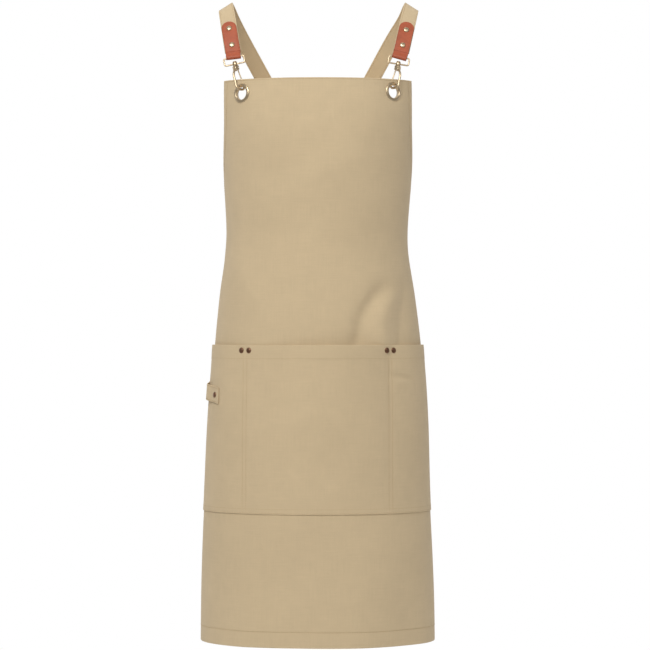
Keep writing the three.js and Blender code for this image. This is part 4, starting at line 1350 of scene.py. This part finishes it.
def ring_path(wide=31.5 * MM, high=RING_REACH, corner=2.4 * MM):
    """The middle line of a rectangular wire ring in its XZ plane, its lower bar through the origin."""
    points = []
    for x, z, start in ((wide / 2 - corner, corner, -90), (wide / 2 - corner, high - corner, 0),
                        (corner - wide / 2, high - corner, 90), (corner - wide / 2, corner, 180)):
        for k in range(9):
            turn = math.radians(start + k * 90 / 8)
            points.append((x + corner * math.cos(turn), 0, z + corner * math.sin(turn)))
    path = np.array(points + points[:1])
    travelled = lengths(path)
    return at_lengths(path, travelled, np.linspace(0, travelled[-1], 161)[:-1])


def metal_piece(name, parts, where, body, slot, *nodes):
    piece = mesh_object(name, *moved(together(parts), where))
    return finish_piece(piece, body, slot, material(slot), *nodes)


HOOK_THROAT = 7.3 * MM
HOOK_CORNER = 4.8 * MM
HOOK_SHIFT = 0.3 * MM
PIN_X = 2.2 * MM
PIN_Z = -7.4 * MM


def hook_reach(side):
    """From the swivel to where the hook's bow bears on the eyelet."""
    hole = on_form(-EYELET_ALONG, side["eyelet"], CANVAS_ROOM / 2)
    tangent = unit(np.cross(form_normals(-EYELET_ALONG, side["eyelet"]), (0, 0, 1)))
    rim = 6.25 * MM
    pull = math.pi / 10
    bearing = hole + tangent * rim * math.sin(pull) + np.array([0, 0, rim * math.cos(pull)])
    return float(np.linalg.norm(np.array([side["swivel"], SWIVEL_Y, SWIVEL_Z]) - bearing))


class APRON_OT_snap_hooks(Operator):
    """Makes each side's rectangular ring with its swivel collar, the hook, its gate, pin and spring."""
    bl_idname = "apron.snap_hooks"
    bl_label = "Snap hooks"

    def execute(self, context):
        for name, side in SIDES.items():
            self.ring(name)
            self.hook(name, hook_reach(side))
        return {"FINISHED"}

    def ring(self, name):
        collar = np.array([
            (2.3, -2.4), (3.1, -2.4), (3.5, -2.2), (3.75, -1.6), (3.85, 0), (3.75, 1.6), (3.5, 2.2),
            (3.1, 2.4),
            (2.3, 2.4), (2.3, -2.4),
        ]) * MM
        parts = [tube(ring_path(), 1.25 * MM, 20, closed=True), lathe(collar, 40)]
        metal_piece(f"strap_ring_{name}_wire", parts, side_frame(name, "ring"), f"ring_{name}", "brass",
                    f"strap_ring_{name}")

    def hook(self, name, reach):
        where = side_frame(name, "hook")
        bow = -reach + HOOK_THROAT

        def corner(way, k):
            turn = math.pi * 1.5 + way * k / 8 * math.pi / 2
            middle = HOOK_SHIFT + way * (HOOK_THROAT - HOOK_CORNER)
            return middle + HOOK_CORNER * math.cos(turn), 0, -reach + HOOK_CORNER * (1 + math.sin(turn))

        spine = [(-1.2 * MM, 0, -7.5 * MM), (-4.2 * MM, 0, -11.5 * MM), (-7.0 * MM, 0, -17.5 * MM),
                 (HOOK_SHIFT - HOOK_THROAT, 0, bow + 4 * MM)]
        curve = [corner(-1, k) for k in range(8, -1, -1)] + [corner(1, k) for k in range(0, 9)]
        tip = [(HOOK_SHIFT + HOOK_THROAT, 0, bow + 0.6 * MM),
               (HOOK_SHIFT + HOOK_THROAT - 0.2 * MM, 0, bow + 1.9 * MM)]
        path = catmull(spine + curve + tip, 900)
        travelled = lengths(path)
        path = at_lengths(path, travelled, np.linspace(0, travelled[-1], 110))
        head = np.array([
            (0, 4.6), (1.6, 4.5), (2.8, 4.1), (3.3, 3.5), (3.35, 2.8), (2.0, 2.7), (2.0, -4), (0, -4)]) * MM
        parts = [
            round_ended(path, 1.75 * MM, 20, up=(0, 1, 0)),
            lathe(head[::-1], 32),
            rounded_block((7.4 * MM, 7.4 * MM, 2.6 * MM), (0, 0, -4.2 * MM), 0.9 * MM),
            rounded_block((7.4 * MM, 1.4 * MM, 6.6 * MM), (0, -3.0 * MM, -6.9 * MM), 0.5 * MM),
            rounded_block((7.4 * MM, 1.4 * MM, 6.6 * MM), (0, 3.0 * MM, -6.9 * MM), 0.5 * MM),
            rounded_block((3.6 * MM, 7.2 * MM, 6.8 * MM), (-1.9 * MM, 0, -6.8 * MM), 0.9 * MM),
        ]
        metal_piece(f"hook_body_{name}_cast", parts, where, f"hook_{name}", "brass", f"hook_body_{name}")
        eye = np.array([
            (1.0, -0.9), (1.7, -0.9), (1.9, -0.7), (1.9, 0.7), (1.7, 0.9), (1.0, 0.9), (1.0, -0.9)]) * MM
        flat = frame_of((PIN_X, -1.0 * MM, PIN_Z), (1, 0, 0), (0, 0, 1), (0, -1, 0))
        end = (HOOK_SHIFT + HOOK_THROAT - 0.5 * MM, 0, bow + 4.1 * MM)
        arm = catmull([(PIN_X + 0.3 * MM, -1 * MM, PIN_Z - 1.6 * MM),
                       (PIN_X + 0.6 * MM, -0.8 * MM, PIN_Z - 3.4 * MM),
                       (PIN_X + 1.8 * MM, -0.2 * MM, PIN_Z - 8 * MM), end], 60)
        gate = [moved(lathe(eye, 28), flat), round_ended(arm, 0.98 * MM, 16, up=(0, 1, 0))]
        metal_piece(f"hook_gate_{name}_arm", gate, where, f"gate_{name}", "brass", f"hook_gate_{name}")
        pin_path = [(PIN_X, y, PIN_Z) for y in (-3.75 * MM, 0, 3.75 * MM)]
        pin = round_ended(pin_path, 0.7 * MM, 18, up=(0, 0, 1))
        metal_piece(f"gate_pin_{name}_rod", [pin], where, f"hook_{name}", "steel", f"gate_pin_{name}")
        turn = np.linspace(0, 3.5 * 2 * math.pi, 110)
        coil = np.stack([PIN_X + 1.35 * MM * np.cos(turn), (0.45 + 0.062 * turn) * MM,
                         PIN_Z + 1.35 * MM * np.sin(turn)], axis=1)
        spring = round_ended(coil, 0.18 * MM, 8, up=(0, 1, 0))
        metal_piece(f"gate_spring_{name}_coil", [spring], where, f"hook_{name}", "steel",
                    f"gate_spring_{name}")


# ---- the waist hardware ----

class APRON_OT_waist(Operator):
    """Makes each corner's canvas tab, rectangular ring and strap slider."""
    bl_idname = "apron.waist"
    bl_label = "Waist tabs, rings and sliders"

    def execute(self, context):
        waist = waist_frame()
        for name, way in (("left", 1), ("right", -1)):
            mirror = np.diag([way, 1.0, 1, 1])
            self.tab(name, way, waist)
            wire = tube(ring_path(), 1.25 * MM, 20, closed=True)
            metal_piece(f"waist_ring_{name}_wire", [wire], mirror @ waist,
                        f"waist_ring_body_{name}", "brass", f"waist_ring_{name}")
            place = waist.copy()
            place[:3, 3] = on_waist_strap(waist, 0.046, 0)
            metal_piece(f"slider_{name}_cast", self.slider(), mirror @ place, f"slider_body_{name}", "brass",
                        f"slider_{name}")
        return {"FINISHED"}

    def slider(self):
        rails = [rounded_block((3.2 * MM, 7.6 * MM, 20 * MM), (way * 14.8 * MM, 0, 0), 1.2 * MM)
                 for way in (-1, 1)]
        front = rounded_block((29.6 * MM, 1.8 * MM, 6.8 * MM), (0, -3.1 * MM, 0), 0.7 * MM)
        behind = [rounded_block((29.6 * MM, 1.8 * MM, 5.0 * MM), (0, 3.1 * MM, way * 7.3 * MM), 0.7 * MM)
                  for way in (-1, 1)]
        return [*rails, front, *behind]

    def tab(self, name, way, waist):
        """A canvas tab folded round the ring's lower bar, a leaf on each face of the panel's corner."""
        bar, across_way, out_way, up_way = waist[:3, 3], waist[:3, 0], waist[:3, 1], waist[:3, 2]
        fall = np.concatenate([46 * MM - EDGE_STEPS[:6], span_between(43 * MM, 2.5 * MM, 1.6 * MM)])

        def leaf(face, stand):
            along = 0.316 - fall * 0.12
            z = -0.352 - fall
            facing = form_normals(along, z)
            near = smoothstep(2 * MM, 14 * MM, fall)
            off = 2.3 * MM + (stand - 2.3 * MM) * near
            swing = across_way + (np.cross(facing, (0, 0, 1)) - across_way) * near[:, None]
            level = unit(swing - facing * (swing * facing).sum(axis=1, keepdims=True))
            rest = panel_off(along, z)
            return on_form(along, z, rest + CANVAS_ROOM / 2 + face * off), -level, facing * face

        front = leaf(1, 1.5 * MM)
        behind = [rows[::-1] for rows in leaf(-1, 2.75 * MM)]
        bend, away = round_bar(bar, out_way, up_way, 2.3 * MM, 11)
        points = np.vstack([front[0], bend, behind[0]])
        across = np.vstack([front[1], np.repeat(-across_way[None], len(bend), axis=0), behind[1]])
        out = np.vstack([front[2], away, behind[2]])
        travelled = lengths(points)
        offsets = np.concatenate([STRAP_HALF - STRIP_STEPS, [0], STRIP_STEPS[::-1] - STRAP_HALF])
        ends = np.minimum(travelled, travelled[-1] - travelled)[:, None]
        edge = np.minimum(STRAP_HALF - np.abs(offsets)[None, :], ends)
        fall_off = edge_fall(edge, 0.6 * MM)
        wide = np.repeat(offsets[None, :], len(points), axis=0)
        low, high = strip(points, across, out, wide, -0.6 * MM * fall_off, 0.6 * MM * fall_off)
        uv = np.stack(np.broadcast_arrays(offsets[None, :], travelled[:, None]), axis=-1)
        piece = slab(f"waist_tab_{name}_cloth", reflected(low, way), reflected(high, way), uv, way)
        finish_piece(piece, "apron", "canvas", material("canvas"), f"waist_tab_{name}")
        count = len(front[0])
        runs = []
        for rows in (slice(2, count - 6), slice(len(points) - count + 6, len(points) - 2)):
            for share in (-1, 1):
                line = points[rows] + across[rows] * share * (STRAP_HALF - 2.2 * MM) + out[rows] * 0.62 * MM
                runs.append((reflected(line, way), reflected(out[rows], way)))
            for row in (rows.start, rows.stop - 1):
                share = np.linspace(-1, 1, 12)[:, None] * (STRAP_HALF - 2.2 * MM)
                line = points[row] + across[row] * share + out[row] * 0.62 * MM
                runs.append((reflected(line, way), reflected(np.repeat(out[row][None], 12, axis=0), way)))
        threads = stitch_piece(f"waist_tab_{name}_stitches", runs, material("thread"))


# ---- the stage ----

def aimed_at(piece, target):
    """Turns a light or camera so that it looks at a point."""
    piece.rotation_euler = (Vector(target) - piece.location).to_track_quat("-Z", "Y").to_euler()


class APRON_OT_stage(Operator):
    """Makes the pale floor, the soft studio light and the camera."""
    bl_idname = "apron.stage"
    bl_label = "Stage, light and camera"

    def execute(self, context):
        turn = np.linspace(0, 2 * math.pi, 97)[:-1]
        rim = np.stack([1.5 * np.cos(turn), 0.1 + 1.4 * np.sin(turn), np.full(96, -1.45)], axis=1)
        floor = mesh_object("floor", rim, [list(range(96))])
        floor.data.materials.append(material("floor"))
        self.world(context.scene)
        self.light("key_light", (-0.80, -2.3, 1.45), 1.6, 53)
        self.light("fill_light", (1.3, -2.4, 1.2), 1.9, 14)
        self.light("top_light", (-0.2, 0.6, 1.9), 1.2, 2)
        data = bpy.data.cameras.new("front_camera")
        data.lens = 149.1
        data.sensor_width = 36
        data.clip_end = 50
        data.dof.use_dof = False
        camera = bpy.data.objects.new("front_camera", data)
        camera.location = (0.01154, -4.2, -0.498)
        camera.rotation_euler = (math.pi / 2, 0, 0)
        context.scene.collection.objects.link(camera)
        context.scene.camera = camera
        context.scene.view_settings.view_transform = "Standard"
        return {"FINISHED"}

    def light(self, name, place, size, power):
        data = bpy.data.lights.new(name, "AREA")
        data.shape = "DISK"
        data.size = size
        data.energy = power
        lamp = bpy.data.objects.new(name, data)
        lamp.location = place
        aimed_at(lamp, (0, 0, -0.30))
        bpy.context.scene.collection.objects.link(lamp)

    def world(self, scene):
        """White behind the apron, softer in front of it, for shape on the metal."""
        world = bpy.data.worlds.new("studio")
        world.use_nodes = True
        tree = world.node_tree
        shade = tree.nodes["Background"]
        shade.inputs["Color"].default_value = (1, 1, 1, 1)
        coords = tree.nodes.new("ShaderNodeTexCoord")
        split = tree.nodes.new("ShaderNodeSeparateXYZ")
        reach = tree.nodes.new("ShaderNodeMapRange")
        reach.interpolation_type = "SMOOTHSTEP"
        reach.inputs["From Min"].default_value = -0.2
        reach.inputs["From Max"].default_value = 0.75
        reach.inputs["To Min"].default_value = 0.30
        reach.inputs["To Max"].default_value = 1.0
        lower = tree.nodes.new("ShaderNodeMapRange")
        lower.interpolation_type = "SMOOTHSTEP"
        lower.inputs["From Min"].default_value = -0.8
        lower.inputs["From Max"].default_value = -0.15
        lower.inputs["To Min"].default_value = 1.0
        both = tree.nodes.new("ShaderNodeMath")
        both.operation = "MULTIPLY"
        tree.links.new(coords.outputs["Generated"], split.inputs[0])
        tree.links.new(split.outputs["Y"], reach.inputs["Value"])
        tree.links.new(split.outputs["Z"], lower.inputs["Value"])
        tree.links.new(reach.outputs["Result"], both.inputs[0])
        tree.links.new(lower.outputs["Result"], both.inputs[1])
        tree.links.new(both.outputs[0], shade.inputs["Strength"])
        scene.world = world


# ---- the add-on ----

STEPS = (
    APRON_OT_panel, APRON_OT_pocket, APRON_OT_towel_loop, APRON_OT_straps, APRON_OT_leather_tabs,
    APRON_OT_rivets, APRON_OT_eyelets, APRON_OT_snap_hooks, APRON_OT_waist, APRON_OT_stage,
)


class APRON_PT_sidebar(Panel):
    """The apron's sizes, colours and pieces."""
    bl_idname = "APRON_PT_sidebar"
    bl_label = "Cross-back bib apron"
    bl_space_type = "VIEW_3D"
    bl_region_type = "UI"
    bl_category = "Apron"

    def draw(self, context):
        for title, group in (("Sizes", sizes()), ("Colours", colours())):
            box = self.layout.box()
            box.label(text=title)
            for name in group.__annotations__:
                box.prop(group, name)
        for step in STEPS:
            self.layout.operator(step.bl_idname)


CLASSES = (ApronSizes, ApronColours, *STEPS, APRON_PT_sidebar)


def register():
    for each in CLASSES:
        bpy.utils.register_class(each)
    bpy.types.Scene.apron_sizes = PointerProperty(type=ApronSizes)
    bpy.types.Scene.apron_colours = PointerProperty(type=ApronColours)


def unregister():
    del bpy.types.Scene.apron_colours
    del bpy.types.Scene.apron_sizes
    for each in reversed(CLASSES):
        bpy.utils.unregister_class(each)


def main():
    register()
    for step in STEPS:
        family, name = step.bl_idname.split(".")
        getattr(getattr(bpy.ops, family), name)()


if __name__ == "__main__":
    main()
